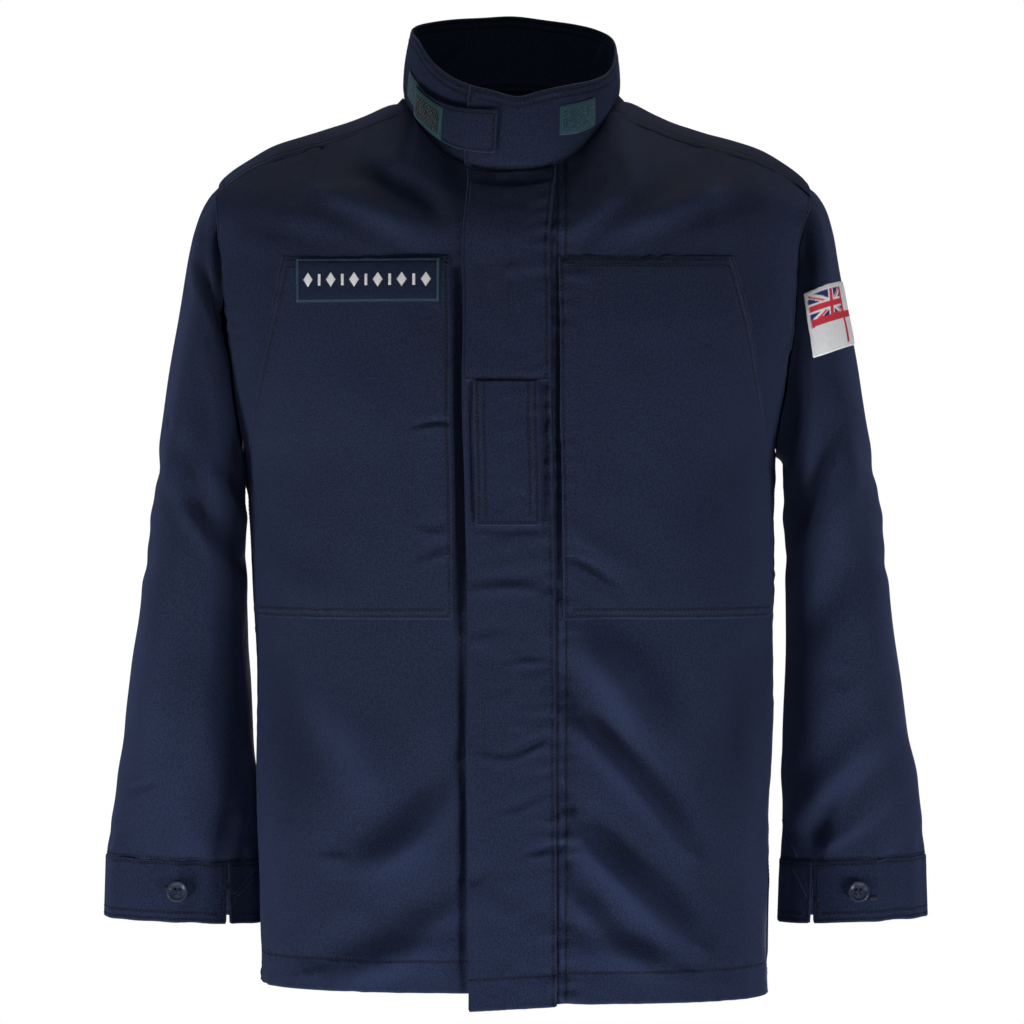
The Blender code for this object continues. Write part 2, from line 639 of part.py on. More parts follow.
def finish_material(name, finish):
    """Principled material of a piece."""
    material = bpy.data.materials.new(name + "_finish")
    material.use_nodes = True
    shader = material.node_tree.nodes["Principled BSDF"]
    shader.inputs["Base Color"].default_value = (*finish.color, 1.0)
    shader.inputs["Roughness"].default_value = finish.roughness
    shader.inputs["Metallic"].default_value = finish.metallic
    material.diffuse_color = (*finish.color, 1.0)
    return material


def add_piece(name, data, finish, collection):
    """Object of a finished mesh, with its own material."""
    piece = bpy.data.objects.new(name, data)
    data.materials.append(finish_material(name, finish))
    collection.objects.link(piece)
    return piece


def add_sheet(sheet, collection):
    """Wall of a body, sleeve or collar sheet, its cloth to the inside of its points."""
    outer = [[p + sheet.shift for p in row] for row in sheet.grid]
    inner = []
    for row, normals in zip(outer, sheet.normals):
        inner.append([p - n * sheet.wall for p, n in zip(row, normals)])
    data = wall_mesh(sheet.name, outer, inner, sheet.closed)
    return add_piece(sheet.name, data, sheet.finish, collection)


def add_overlay(name, points, normals, lift, finish, collection, wall=PATCH_CLOTH):
    """Wall lying on another piece: its points moved out, by lift(row, column)."""
    outer = []
    inner = []
    for r, row in enumerate(points):
        inner.append([p + normals[r][c] * lift(r, c) for c, p in enumerate(row)])
        outer.append([p + normals[r][c] * (lift(r, c) + wall) for c, p in enumerate(row)])
    return add_piece(name, wall_mesh(name, outer, inner, False), finish, collection)


# ================================================================ sampling a sheet
def sample(grid, row, column):
    """Value of a grid of vectors between its rows and columns."""
    r = min(int(row), len(grid) - 2)
    c = min(int(column), len(grid[0]) - 2)
    s = row - r
    t = column - c
    low = grid[r][c].lerp(grid[r][c + 1], t)
    high = grid[r + 1][c].lerp(grid[r + 1][c + 1], t)
    return low.lerp(high, s)


def find_place(grid, measure, wanted, start):
    """Row and column at which two measures of a grid's point have the wanted values."""
    row, column = start
    for _ in range(PLACE_STEPS):
        here = measure(sample(grid, row, column))
        by_row = measure(sample(grid, row + PLACE_PROBE, column))
        by_column = measure(sample(grid, row, column + PLACE_PROBE))
        a, c = [(by_row[n] - here[n]) / PLACE_PROBE for n in range(2)]
        b, d = [(by_column[n] - here[n]) / PLACE_PROBE for n in range(2)]
        miss = wanted[0] - here[0], wanted[1] - here[1]
        scale = PLACE_HASTE / (a * d - b * c)
        row += (d * miss[0] - b * miss[1]) * scale
        column += (a * miss[1] - c * miss[0]) * scale
        row = min(max(row, 0.0), len(grid) - 1.0)
        column = min(max(column, 0.0), len(grid[0]) - 1.0)
    return row, column


def place_on(grid, x, z):
    """Row and column at which a front's grid has a place seen from the front."""
    start = (ARMPIT_ROW, len(grid[0]) / 2.0)
    return find_place(grid, lambda p: (p.x, p.z), (x, z), start)


def patch_on(sheet, corners, rows, columns):
    """Points and directions of a patch on a front, from its corners seen from the front."""
    low_left, low_right, high_right, high_left = [Vector(corner) for corner in corners]
    points = []
    normals = []
    for r in range(rows + 1):
        start = low_left.lerp(high_left, r / rows)
        end = low_right.lerp(high_right, r / rows)
        places = [place_on(sheet.grid, *start.lerp(end, c / columns)) for c in range(columns + 1)]
        points.append([sample(sheet.grid, *place) for place in places])
        normals.append([sample(sheet.normals, *place).normalized() for place in places])
    return points, normals


# ================================================================ sleeves and cuffs
def ring_point(ring, side, turn):
    """Point of a sleeve ring; a turn of 0 is the inner end, 90 degrees the front."""
    inner = Vector((ring.inner_x, 0.0, ring.inner_z))
    outer = Vector((ring.outer_x, 0.0, ring.outer_z))
    if side > 0:
        inner.x += ring.left_in
        outer.x += ring.left_out
    centre = (inner + outer) / 2.0
    half = (outer - inner) / 2.0
    round_part = 2.0 / SLEEVE_POWER
    along = math.cos(turn)
    across = math.sin(turn)
    p = centre - half * signed_power(along, round_part)
    half_depth = (ring.back_y - ring.front_y) / 2.0
    p.y = (ring.back_y + ring.front_y) / 2.0 - half_depth * signed_power(across, round_part)
    p.x *= side
    return p


def armhole_loop(front, back_edge):
    """Points round the armhole: up the front, over the shoulder and down the back."""
    up = [row[-1] for row in front.grid[ARMPIT_ROW:]]
    return up + list(reversed(back_edge[ARMPIT_ROW + 1:-1]))


def sleeve_turns(loop):
    """Each armhole point's turn round the sleeve."""
    low = loop[0]
    top = max(loop, key=lambda p: p.z)
    front = min(p.y for p in loop)
    back = max(p.y for p in loop)
    centre = (low + top) / 2.0
    half_height = (top.z - low.z) / 2.0
    half_depth = (back - front) / 2.0
    middle_y = (front + back) / 2.0
    exponent = SLEEVE_POWER / 2.0
    turns = []
    for p in loop:
        along = (centre.z - p.z) / half_height
        across = (middle_y - p.y) / half_depth
        turns.append(math.atan2(signed_power(across, exponent), signed_power(along, exponent)))
    return turns


def sleeve_grid(loop, side):
    """Rings of a sleeve: the armhole and one for each row of the table."""
    turns = sleeve_turns(loop)
    rings = [list(loop)]
    for ring in SLEEVE:
        rings.append([ring_point(ring, side, turn) for turn in turns])
    return rings


def cuff_grid(side):
    """Open band below the sleeve's end, parted at the slit."""
    end = SLEEVE[-1]
    rows = []
    for r in range(CUFF_ROWS + 1):
        part = r / CUFF_ROWS
        drop = CUFF_GAP + CUFF_DEPTH * part
        grow = CUFF_PROUD + CUFF_TAPER * part
        ring = Ring(
            end.inner_x - grow, end.inner_z - drop, end.outer_x + grow, end.outer_z - drop,
            end.front_y - grow, end.back_y + grow, end.left_in, end.left_out,
        )
        half_slit = CUFF_NOTCH_TOP + (CUFF_NOTCH_FOOT - CUFF_NOTCH_TOP) * part
        start = CUFF_NOTCH_ANGLE + half_slit
        finish = CUFF_NOTCH_ANGLE - half_slit + 360.0
        turns = [start] + steps(start, finish, CUFF_COLUMNS)
        rows.append([ring_point(ring, side, math.radians(turn)) for turn in turns])
    return rows


def add_button(name, cuff, collection):
    """Turned button with a raised rim, lying against the cuff."""
    angle_step = (360.0 - 2.0 * CUFF_NOTCH_FOOT) / CUFF_COLUMNS
    column = (FRONT_BUTTON_ANGLE - CUFF_NOTCH_ANGLE) / angle_step
    seat = sample(cuff.grid, CUFF_ROWS / 2.0, column) + cuff.shift
    out = sample(cuff.normals, CUFF_ROWS / 2.0, column).normalized()
    profile = (
        (0.0, BUTTON_HEIGHT - BUTTON_DISH),
        (BUTTON_RADIUS - 2.0 * BUTTON_RIM, BUTTON_HEIGHT - BUTTON_DISH),
        (BUTTON_RADIUS - BUTTON_RIM, BUTTON_HEIGHT),
        (BUTTON_RADIUS - BUTTON_ROUND, BUTTON_HEIGHT - BUTTON_ROUND),
        (BUTTON_RADIUS, BUTTON_HEIGHT / 2.0),
        (BUTTON_RADIUS - BUTTON_ROUND, 0.0),
        (0.0, 0.0),
    )
    data = bpy.data.meshes.new(name)
    points = [(radius, 0.0, height) for radius, height in profile]
    data.from_pydata(points, [(n, n + 1) for n in range(len(points) - 1)], [])
    button = add_piece(name, data, BUTTON_FINISH, collection)
    screw = button.modifiers.new("turn", "SCREW")
    screw.steps = BUTTON_SEGMENTS
    screw.render_steps = BUTTON_SEGMENTS
    screw.use_merge_vertices = True
    screw.merge_threshold = 0.00001
    button.rotation_mode = "QUATERNION"
    button.rotation_quaternion = Vector((0.0, 0.0, 1.0)).rotation_difference(out)
    button.location = seat + out * STACK_GAP
    return button


def flag_measure(point):
    """How far round the sleeve a point lies, and how high along the flag's slant."""
    return point.x + point.y, point.z - FLAG_SLANT * point.x


def add_flag_patch(sleeve, collection):
    """Patch on the wearer's left upper sleeve, wrapped round it and slanted."""
    points = []
    normals = []
    place = FLAG_SEARCH
    for r in range(FLAG_ROWS + 1):
        up = r / FLAG_ROWS
        hoist = FLAG_FOOT[0] + (FLAG_HEAD[0] - FLAG_FOOT[0]) * up
        fly = FLAG_FOOT[1] + (FLAG_HEAD[1] - FLAG_FOOT[1]) * up
        level = FLAG_LEVEL[0] + (FLAG_LEVEL[1] - FLAG_LEVEL[0]) * up
        row_places = []
        for round_place in [hoist] + steps(hoist, fly, FLAG_COLUMNS):
            place = find_place(sleeve.grid, flag_measure, (round_place, level), place)
            row_places.append(place)
        place = row_places[0]
        points.append([sample(sleeve.grid, *spot) for spot in row_places])
        normals.append([sample(sleeve.normals, *spot).normalized() for spot in row_places])
    add_overlay("flag_patch", points, normals, lambda r, c: FLAG_LIFT, FLAG_FINISH, collection)


# ================================================================ collar
def collar_foot(angle):
    """Collar seam's point at a direction; the wearer's right is below 0 or above 180."""
    turn = (angle + 180.0) % 360.0 - 180.0
    return neckline(abs(turn), -1 if turn < 0.0 else 1)


def collar_head(angle):
    """Top edge's point at a direction."""
    turn = (angle + 180.0) % 360.0 - 180.0
    column = "right_z" if turn < 0.0 else "left_z"
    z = read(COLLAR_TOP, "angle", abs(turn), column)
    swing = math.radians(turn)
    reach = COLLAR_TOP_FRONT if abs(turn) <= 90.0 else COLLAR_TOP_BACK
    return Vector((COLLAR_TOP_HALF_WIDTH * math.sin(swing), NECK_Y - reach * math.cos(swing), z))


def collar_out(angle):
    """Level direction out of the collar."""
    swing = math.radians(angle)
    return Vector((math.sin(swing), -math.cos(swing), 0.0))


def collar_point(angle, height):
    """Point of the collar's outer face; height is a part of the collar's own."""
    bow = COLLAR_BOW * math.sin(math.pi * height)
    return collar_foot(angle).lerp(collar_head(angle), height) + collar_out(angle) * bow


def lap_standoff(angle):
    """How far the overlapping end stands out at a direction."""
    return COLLAR_LAP_STANDOFF * (1.0 - ease((angle - COLLAR_LAP_HOLD) / COLLAR_LAP_FADE))


def collar_angles():
    """Directions of the collar's columns, on those of the panels' neckline."""
    right = [-a for a in throat_angles(-1)]
    left = throat_angles(1)
    half = list(nape_angles())
    ring = left + [NECK_SEAM_ANGLE] + half
    ring += [360.0 - a for a in reversed([NECK_SEAM_ANGLE] + half[:-1])]
    ring += [360.0 + a for a in reversed(right)]
    return [-COLLAR_LAP_END, right[1]] + ring + [360.0 + COLLAR_UNDER_END]


def collar_grid():
    """Rows of the collar, from its seam to its top edge, from the outer end round."""
    rows = []
    for height in [0.0] + steps(0.0, 1.0, COLLAR_ROWS):
        row = []
        for angle in collar_angles():
            row.append(collar_point(angle, height) + collar_out(angle) * lap_standoff(angle))
        rows.append(row)
    return rows


def add_collar_patch(patch, collection):
    """Piece sewn on the collar, from the collar's own points."""
    angles = [patch.start] + steps(patch.start, patch.end, patch.columns)
    outs = [collar_out(angle) for angle in angles]
    points = []
    normals = []
    for r in range(PATCH_ROWS + 1):
        row = []
        for c in range(patch.columns + 1):
            across = c / patch.columns
            low = patch.low_start + (patch.low_end - patch.low_start) * across
            high = patch.high_start + (patch.high_end - patch.high_start) * across
            row.append(collar_point(angles[c], low + (high - low) * r / PATCH_ROWS))
        points.append(row)
        normals.append(outs)

    def lift(r, c):
        across = c / patch.columns
        return patch.off_start + (patch.off_end - patch.off_start) * across + STACK_GAP

    if patch.name.startswith("collar_loop"):
        finish = LOOP_FINISH
    elif patch.name == "tab_hook_patch":
        finish = HOOK_FINISH
    else:
        finish = CLOTH_FINISH
    return add_overlay(patch.name, points, normals, lift, finish, collection)


# ================================================================ front trims
def placket_grid(right, left):
    """Points and directions of the placket's columns, from its free edge to its seam."""
    points = []
    normals = []
    for r in range(len(right.grid)):
        points.append(right.grid[r][2::-1] + left.grid[r][1:3])
        normals.append(right.normals[r][2::-1] + left.normals[r][1:3])
    return points, normals


def placket_lift(c):
    """Height of the placket's inner face over the fronts, at a column."""
    free = 1.0 - c / PLACKET_COLUMNS
    return PLACKET_LIFT + PLACKET_FREE_LIFT * free**2


def add_placket(right, left, collection):
    """Fly placket over the fronts' meeting edges, with the upper layer and the tab on it."""
    points, normals = placket_grid(right, left)
    for c, point in enumerate(points[0]):
        foot_z = PLACKET_FOOT_Z + PLACKET_FOOT_RISE * c / PLACKET_COLUMNS
        points[0][c] = Vector((point.x, point.y, foot_z))
    points[-1] = [low.lerp(high, PLACKET_TOP_PART) for low, high in zip(points[-2], points[-1])]

    def lift(r, c):
        return placket_lift(c)

    add_overlay("placket", points, normals, lift, CLOTH_FINISH, collection, CLOTH)


def row_at_height(sheet, z):
    """Row of a front's grid, on its centre edge, at a height."""
    heights = [row[0].z for row in sheet.grid]
    for r, (low, high) in enumerate(zip(heights, heights[1:])):
        if low <= z <= high:
            return r + (z - low) / (high - low)
    return float(len(heights) - 1)


def placket_patch(name, right, left, x_range, z_range, lift, finish, collection, wall=PATCH_CLOTH):
    """Layer that lies on the placket, between two widths and two heights."""
    points, normals = placket_grid(right, left)
    low = row_at_height(right, z_range[0])
    high = row_at_height(right, z_range[1])
    first_row = math.ceil(low + GRID_MARGIN)
    last_row = math.floor(high - GRID_MARGIN)
    xs = [p.x for p in points[int(low)]]
    columns = []
    for x in x_range:
        for c, (a, b) in enumerate(zip(xs, xs[1:])):
            if a <= x <= b:
                columns.append(c + (x - a) / (b - a))
                break
    start = columns[0] + GRID_MARGIN
    end = columns[1] - GRID_MARGIN
    column_places = [columns[0]]
    column_places += [float(c) for c in range(PLACKET_COLUMNS + 1) if start < c < end]
    column_places.append(columns[1])
    row_places = [low] + [float(r) for r in range(first_row, last_row + 1)] + [high]
    grid = [[sample(points, r, c) for c in column_places] for r in row_places]
    outs = [[sample(normals, r, c).normalized() for c in column_places] for r in row_places]

    def height(r, c):
        return placket_lift(column_places[c]) + CLOTH + lift

    return add_overlay(name, grid, outs, height, finish, collection, wall)


def pocket_lift(row_part, column_part):
    """Height of a pocket's inner face over its front: flat at seams, full in the middle."""
    full = power(math.sin(math.pi * min(max(row_part, 0.0), 1.0)), POCKET_FULLNESS)
    gape = power(math.cos(0.5 * math.pi * min(column_part, 1.0)), POCKET_GAPE)
    return POCKET_LIFT + POCKET_BULGE * full * gape


def add_pocket(name, front, collection):
    """Chest pocket on a front, open along its inner edge."""
    end = OPENING_COLUMN + POCKET_COLUMNS + 1
    points = [row[OPENING_COLUMN:end] for row in front.grid[POCKET_ROW:POCKET_TOP_ROW + 1]]
    normals = [row[OPENING_COLUMN:end] for row in front.normals[POCKET_ROW:POCKET_TOP_ROW + 1]]

    def lift(r, c):
        return pocket_lift(r / (POCKET_TOP_ROW - POCKET_ROW), c / POCKET_COLUMNS)

    return add_overlay(name, points, normals, lift, CLOTH_FINISH, collection, CLOTH)


def add_name_patch(front, collection):
    """Plain name tape over the top of the wearer's right pocket."""
    left, right = NAME_PATCH_X
    low, high = NAME_PATCH_Z
    corners = ((left, low), (right, low), (right, high), (left, high))
    points, normals = patch_on(front, corners, PATCH_ROWS, NAME_PATCH_COLUMNS)

    def lift(r, c):
        row, column = place_on(front.grid, points[r][c].x, points[r][c].z)
        up = (row - POCKET_ROW) / (POCKET_TOP_ROW - POCKET_ROW)
        over_pocket = pocket_lift(up, (column - OPENING_COLUMN) / POCKET_COLUMNS)
        return over_pocket + CLOTH + STACK_GAP

    return add_overlay("name_patch", points, normals, lift, TRIM_FINISH, collection)


# ================================================================ the jacket
def clear_scene():
    """Removes what the scene holds."""
    for thing in list(bpy.data.objects):
        bpy.data.objects.remove(thing, do_unlink=True)


def new_collection(name):
    """Collection of the jacket's pieces."""
    collection = bpy.data.collections.new(name)
    bpy.context.scene.collection.children.link(collection)
    return collection


def build():
    """Makes every piece."""
    clear_scene()
    collection = new_collection(COLLECTION_NAME)
    shift = Vector((-SEAM_SHIFT, -SEAM_SHIFT, 0.0))
    right_front = Sheet("right_front", front_grid(-1), CLOTH_FINISH, shift, inside=BODY_MIDDLE)
    shift = Vector((SEAM_SHIFT, -SEAM_SHIFT, 0.0))
    left_front = Sheet("left_front", front_grid(1), CLOTH_FINISH, shift, inside=BODY_MIDDLE)
    shift = Vector((0.0, SEAM_SHIFT, 0.0))
    back = Sheet("back", back_grid(), CLOTH_FINISH, shift, inside=BODY_MIDDLE)
    body = (right_front, left_front, back)
    set_normals(body)
    for sheet in body:
        put_folds(sheet, FRONT_FOLDS, BACK_FOLDS)

    sleeves = []
    for name, front, column, side, folds in (
        ("right_sleeve", right_front, 0, -1, RIGHT_SLEEVE_FOLDS),
        ("left_sleeve", left_front, -1, 1, LEFT_SLEEVE_FOLDS),
    ):
        loop = armhole_loop(front, [row[column] for row in back.grid])
        shift = Vector((side * SLEEVE_SHIFT, 0.0, 0.0))
        sleeve = Sheet(name, sleeve_grid(loop, side), CLOTH_FINISH, shift, closed=True)
        set_normals([sleeve])
        put_folds(sleeve, folds, folds, side, FOLD_FADE)
        sleeves.append(sleeve)

    shift = Vector((0.0, 0.0, 2.0 * SEAM_SHIFT))
    collar = Sheet("collar", collar_grid(), CLOTH_FINISH, shift, FOLDED_CLOTH)
    set_normals([*body, *sleeves, collar])
    for sleeve in sleeves:
        sleeve.normals[0][0] = DOWN
    for sheet, column in ((right_front, -1), (left_front, -1), (back, 0), (back, -1)):
        sheet.normals[ARMPIT_ROW][column] = DOWN
    for sheet in (*body, *sleeves, collar):
        add_sheet(sheet, collection)

    for patch in COLLAR_PATCHES:
        add_collar_patch(patch, collection)
    add_placket(right_front, left_front, collection)
    add_pocket("right_pocket", right_front, collection)
    add_pocket("left_pocket", left_front, collection)
    add_name_patch(right_front, collection)
    placket_patch(
        "placket_top", right_front, left_front, PLACKET_TOP_X, (PLACKET_TOP_END_Z, PLACKET_TOP_HEAD_Z),
        STACK_GAP, CLOTH_FINISH, collection,
    )
    placket_patch(
        "rank_tab", right_front, left_front, RANK_TAB_X, (RANK_TAB_END_Z, RANK_TAB_HEAD_Z),
        STACK_GAP, CLOTH_FINISH, collection,
    )

    for name, side in (("right_cuff", -1), ("left_cuff", 1)):
        cuff = Sheet(name, cuff_grid(side), CLOTH_FINISH, wall=FOLDED_CLOTH)
        cuff.shift = Vector((side * SLEEVE_SHIFT, 0.0, 0.0))
        set_normals([cuff])
        add_sheet(cuff, collection)
        add_button(name + "_button", cuff, collection)
    add_flag_patch(sleeves[1], collection)


build()
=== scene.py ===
"""Field jacket filled out as if worn: cloth shells, sewing, patches and buttons.

Lengths are in metres, in the part's own frame: +Z up, the front faces -Y, +X is the
wearer's left.  Every cloth shell lies on the outer face of its solid.
"""

import json
import math
from collections import namedtuple

import bmesh
import bpy
import numpy as np
from bpy.props import FloatProperty, FloatVectorProperty, PointerProperty
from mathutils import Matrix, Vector
from mathutils.bvhtree import BVHTree
from mathutils.kdtree import KDTree


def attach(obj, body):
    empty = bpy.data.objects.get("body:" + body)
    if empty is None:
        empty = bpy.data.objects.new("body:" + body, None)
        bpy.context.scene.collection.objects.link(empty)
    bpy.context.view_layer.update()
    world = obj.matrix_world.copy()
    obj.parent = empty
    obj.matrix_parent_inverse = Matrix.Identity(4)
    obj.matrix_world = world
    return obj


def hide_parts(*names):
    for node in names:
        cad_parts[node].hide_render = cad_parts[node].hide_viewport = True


bl_info = {
    "name": "Field jacket",
    "version": (1, 0, 0),
    "blender": (4, 5, 0),
    "location": "3D View > Sidebar > Jacket",
    "description": "Makes a worn-shape field jacket around its frame",
    "category": "Object",
}

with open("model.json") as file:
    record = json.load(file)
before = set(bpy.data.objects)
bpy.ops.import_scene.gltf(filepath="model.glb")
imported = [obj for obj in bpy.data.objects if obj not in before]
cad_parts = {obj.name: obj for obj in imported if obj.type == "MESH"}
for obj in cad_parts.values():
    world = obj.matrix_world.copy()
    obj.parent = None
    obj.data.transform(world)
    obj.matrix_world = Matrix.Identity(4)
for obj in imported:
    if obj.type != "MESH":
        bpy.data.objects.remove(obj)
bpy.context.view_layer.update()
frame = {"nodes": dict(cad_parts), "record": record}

# ---------------------------------------------------------------- view
CAMERA_PLACE = (-0.0017, -4.0, -0.334)
CAMERA_LENS = 169.43
SENSOR_WIDTH = 36.0
FLOOR_Z = -3.05
FLOOR_RADIUS = 5.5
FLOOR_GLOW = (0.30, 0.36)    # how the floor glows, and what more of it the camera sees
ROOM_GLOW = (0.08, 0.92)     # the same of the room round it

# A light's name, its place, what it aims at, its size in metres and its power in watts.
LIGHTS = (
    ("key", (2.0, -1.6, -1.8), (0.0, 0.0, -0.45), 0.8, 55.0),
    ("fill", (-2.2, -1.4, -1.8), (0.0, 0.0, -0.45), 0.8, 70.0),
    ("low", (0.0, -1.8, -2.4), (0.0, 0.0, -0.45), 0.8, 10.0),
    ("front", (-0.3, -3.2, 1.5), (0.0, 0.0, -0.3), 1.0, 11.0),
    ("top", (0.3, 1.2, 2.4), (0.0, 0.0, -0.2), 1.4, 36.0),
    ("back", (0.6, 2.6, -1.2), (0.0, 0.0, -0.4), 1.2, 42.0),
)

# ---------------------------------------------------------------- sheets
MERGE = 0.00001             # points of a node closer than this are one
RIM_EDGE = 0.0033           # only the rim of a wall has edges shorter than this
BODY_MIDDLE = Vector((0.0, 0.012, -0.35))
OUTER = np.array((0.0, 0.0014, 0.0030))  # extra grid lines along each edge

# A sheet's solid, its quads each way, the fine grid's step, its wall, how it is held, its
# cut (width and length), the cut's area, and which way along X its columns run.
Plan = namedtuple("Plan", "node rows columns step wall held flat area x_way", defaults=(1.0,))
PLANS = (
    Plan("right_front", 22, 13, 0.0030, 0.0010, "hung", (0.305, 0.750), 0.194),
    Plan("left_front", 22, 13, 0.0030, 0.0010, "hung", (0.305, 0.758), 0.197),
    Plan("back", 25, 26, 0.0038, 0.0010, "hung", (0.692, 0.865), 0.452),
    Plan("right_sleeve", 17, 25, 0.0031, 0.0010, "hung", (0.613, 0.571), 0.177),
    Plan("left_sleeve", 17, 25, 0.0031, 0.0010, "hung", (0.613, 0.571), 0.180),
    Plan("collar", 4, 27, 0.0022, 0.0020, "stretched", (0.626, 0.062), 0.0330),
    Plan("collar_tab", 2, 6, 0.0016, 0.0009, "stretched", (0.089, 0.035), 0.0026),
    Plan("collar_loop_right", 2, 2, 0.0012, 0.0008, "stretched", (0.023, 0.034), 0.00065),
    Plan("collar_loop_left", 2, 3, 0.0012, 0.0008, "stretched", (0.038, 0.024), 0.00088),
    Plan("tab_hook_patch", 2, 3, 0.0012, 0.0008, "stretched", (0.039, 0.027), 0.00085),
    Plan("placket", 22, 4, 0.0026, 0.0013, "hung", (0.073, 0.691), 0.048),
    Plan("placket_top", 8, 4, 0.0022, 0.0009, "hung", (0.068, 0.169), 0.0110),
    Plan("rank_tab", 5, 4, 0.0020, 0.0009, "hung", (0.052, 0.117), 0.0060),
    Plan("right_pocket", 10, 7, 0.0024, 0.0010, "stretched", (0.220, 0.316), 0.0555),
    Plan("left_pocket", 10, 7, 0.0024, 0.0010, "stretched", (0.227, 0.317), 0.0575),
    Plan("name_patch", 2, 6, 0.0014, 0.0009, "stretched", (0.120, 0.036), 0.0043),
    Plan("right_cuff", 2, 26, 0.0022, 0.0019, "stretched", (0.369, 0.050), 0.0183),
    Plan("left_cuff", 2, 26, 0.0022, 0.0019, "stretched", (0.361, 0.050), 0.0179, -1.0),
    Plan("flag_patch", 3, 10, 0.0008, 0.0008, "stretched", (0.103, 0.055), 0.0054),
)
PLAN = {plan.node: plan for plan in PLANS}
TUBES = ("right_sleeve", "left_sleeve")
CLOTHS = {}                 # every sheet by its node's name
BODY = ("right_front", "left_front", "back")
CUFFS = ("right_cuff", "left_cuff")
SIDES = ("start", "end", "top", "bottom")


# ================================================================ reading a solid's face
def outer_faces(mesh, middle):
    """Faces of a wall's outer side: parted from the inner by its rim, and facing away."""
    left = {f for f in mesh.faces if min(e.calc_length() for e in f.edges) > RIM_EDGE}
    parts = []
    while left:
        stack = [left.pop()]
        part = set(stack)
        while stack:
            for edge in stack.pop().edges:
                for face in edge.link_faces:
                    if face in left:
                        left.discard(face)
                        part.add(face)
                        stack.append(face)
        parts.append(part)

    def facing(part):
        return sum(f.calc_area() * f.normal.dot(f.calc_center_median() - middle) for f in part)

    return max(sorted(parts, key=len)[-2:], key=facing)


def border_loops(faces):
    """Closed rings of points round a set of faces."""
    near = {}
    for face in faces:
        for edge in face.edges:
            if sum(f in faces for f in edge.link_faces) == 1:
                for here, there in (edge.verts, reversed(edge.verts)):
                    near.setdefault(here, []).append(there)
    loops = []
    while near:
        start = min(near, key=lambda v: v.index)
        loop = [start]
        step = min(near[start], key=lambda v: v.index)
        while step != start:
            before = loop[-1]
            loop.append(step)
            step = next(v for v in near[step] if v != before)
        for v in loop:
            del near[v]
        loops.append(loop)
    return loops


def turn_at(loop, i):
    """How sharply a ring turns at a point."""
    a, b, c = [loop[(i + n) % len(loop)].co for n in (-1, 0, 1)]
    return (b - a).angle(c - b)


def beyond(a, b, faces, below):
    """Third point of the face on a row's edge that looks away from the row below."""
    edge = next(e for e in a.link_edges if b in e.verts)
    for face in edge.link_faces:
        if face in faces:
            corner = next(v for v in face.verts if v not in (a, b))
            if corner not in below:
                return corner
    return None


def open_rows(faces, rows, columns):
    """Rows of points of an open sheet, found from its corners."""
    loop = border_loops(faces)[0]
    count = len(loop)
    spans = (0, columns, columns + rows, 2 * columns + rows)
    start = max(range(count), key=lambda k: sum(turn_at(loop, k + span) for span in spans))
    found = [[loop[(start + n) % count] for n in range(columns + 1)]]
    below = set()
    for r in range(1, rows + 1):
        row = found[-1]
        fresh = [loop[(start - r) % count]]
        for a, b in zip(row, row[1:]):
            corner = beyond(a, b, faces, below)
            if corner == fresh[-1]:
                corner = beyond(b, corner, faces, {a})
            fresh.append(corner)
        below = set(row)
        found.append(fresh)
    return found


def tube_rows(faces, rows):
    """Rings of points of a tube, from the top down, each up the front from its low point."""
    ring = max(border_loops(faces), key=lambda loop: sum(v.co.z for v in loop) / len(loop))
    low = min(range(len(ring)), key=lambda n: ring[n].co.z)
    ring = ring[low:] + ring[:low]
    if ring[3].co.y > ring[-3].co.y:
        ring = ring[:1] + ring[:0:-1]
    found = [ring]
    below = set()
    for _ in range(rows):
        row = found[-1]
        ahead = [beyond(a, b, faces, below) for a, b in zip(row, row[1:] + row[:1])]
        choices = (ahead, ahead[-1:] + ahead[:-1])
        fresh = min(choices, key=lambda c: sum((v.co - w.co).length for v, w in zip(row, c)))
        below = set(row)
        found.append(fresh)
    return [row + row[:1] for row in found]


def read_grid(plan):
    """Grid of points on the outer face of a plan's solid, rows upwards."""
    mesh = bmesh.new()
    mesh.from_mesh(frame["nodes"][plan.node].data)
    bmesh.ops.remove_doubles(mesh, verts=mesh.verts, dist=MERGE)
    mesh.verts.index_update()
    tube = plan.node in TUBES
    round_piece = tube or plan.node.endswith("cuff")
    middle = sum((v.co for v in mesh.verts), Vector()) / len(mesh.verts)
    faces = outer_faces(mesh, middle if round_piece else BODY_MIDDLE)
    if tube:
        found = tube_rows(faces, plan.rows)
    else:
        found = open_rows(faces, plan.rows, plan.columns)
    grid = np.array([[v.co[:] for v in row] for row in found])
    mesh.free()
    if tube:
        return grid[::-1]
    rise = abs(grid[-1, :, 2].mean() - grid[0, :, 2].mean())
    if rise < abs(grid[:, -1, 2].mean() - grid[:, 0, 2].mean()):
        grid = grid.transpose(1, 0, 2)
    if grid[-1, :, 2].mean() < grid[0, :, 2].mean():
        grid = grid[::-1]
    if plan.x_way * (grid[:, -1, 0].mean() - grid[:, 0, 0].mean()) < 0.0:
        grid = grid[:, ::-1]
    return grid


# ================================================================ fine grids
def chord_knots(grid, axis):
    """Mean distance of each line of a grid from the first."""
    gaps = np.linalg.norm(np.diff(grid, axis=axis), axis=2).mean(axis=1 - axis)
    return np.concatenate(([0.0], np.cumsum(gaps)))


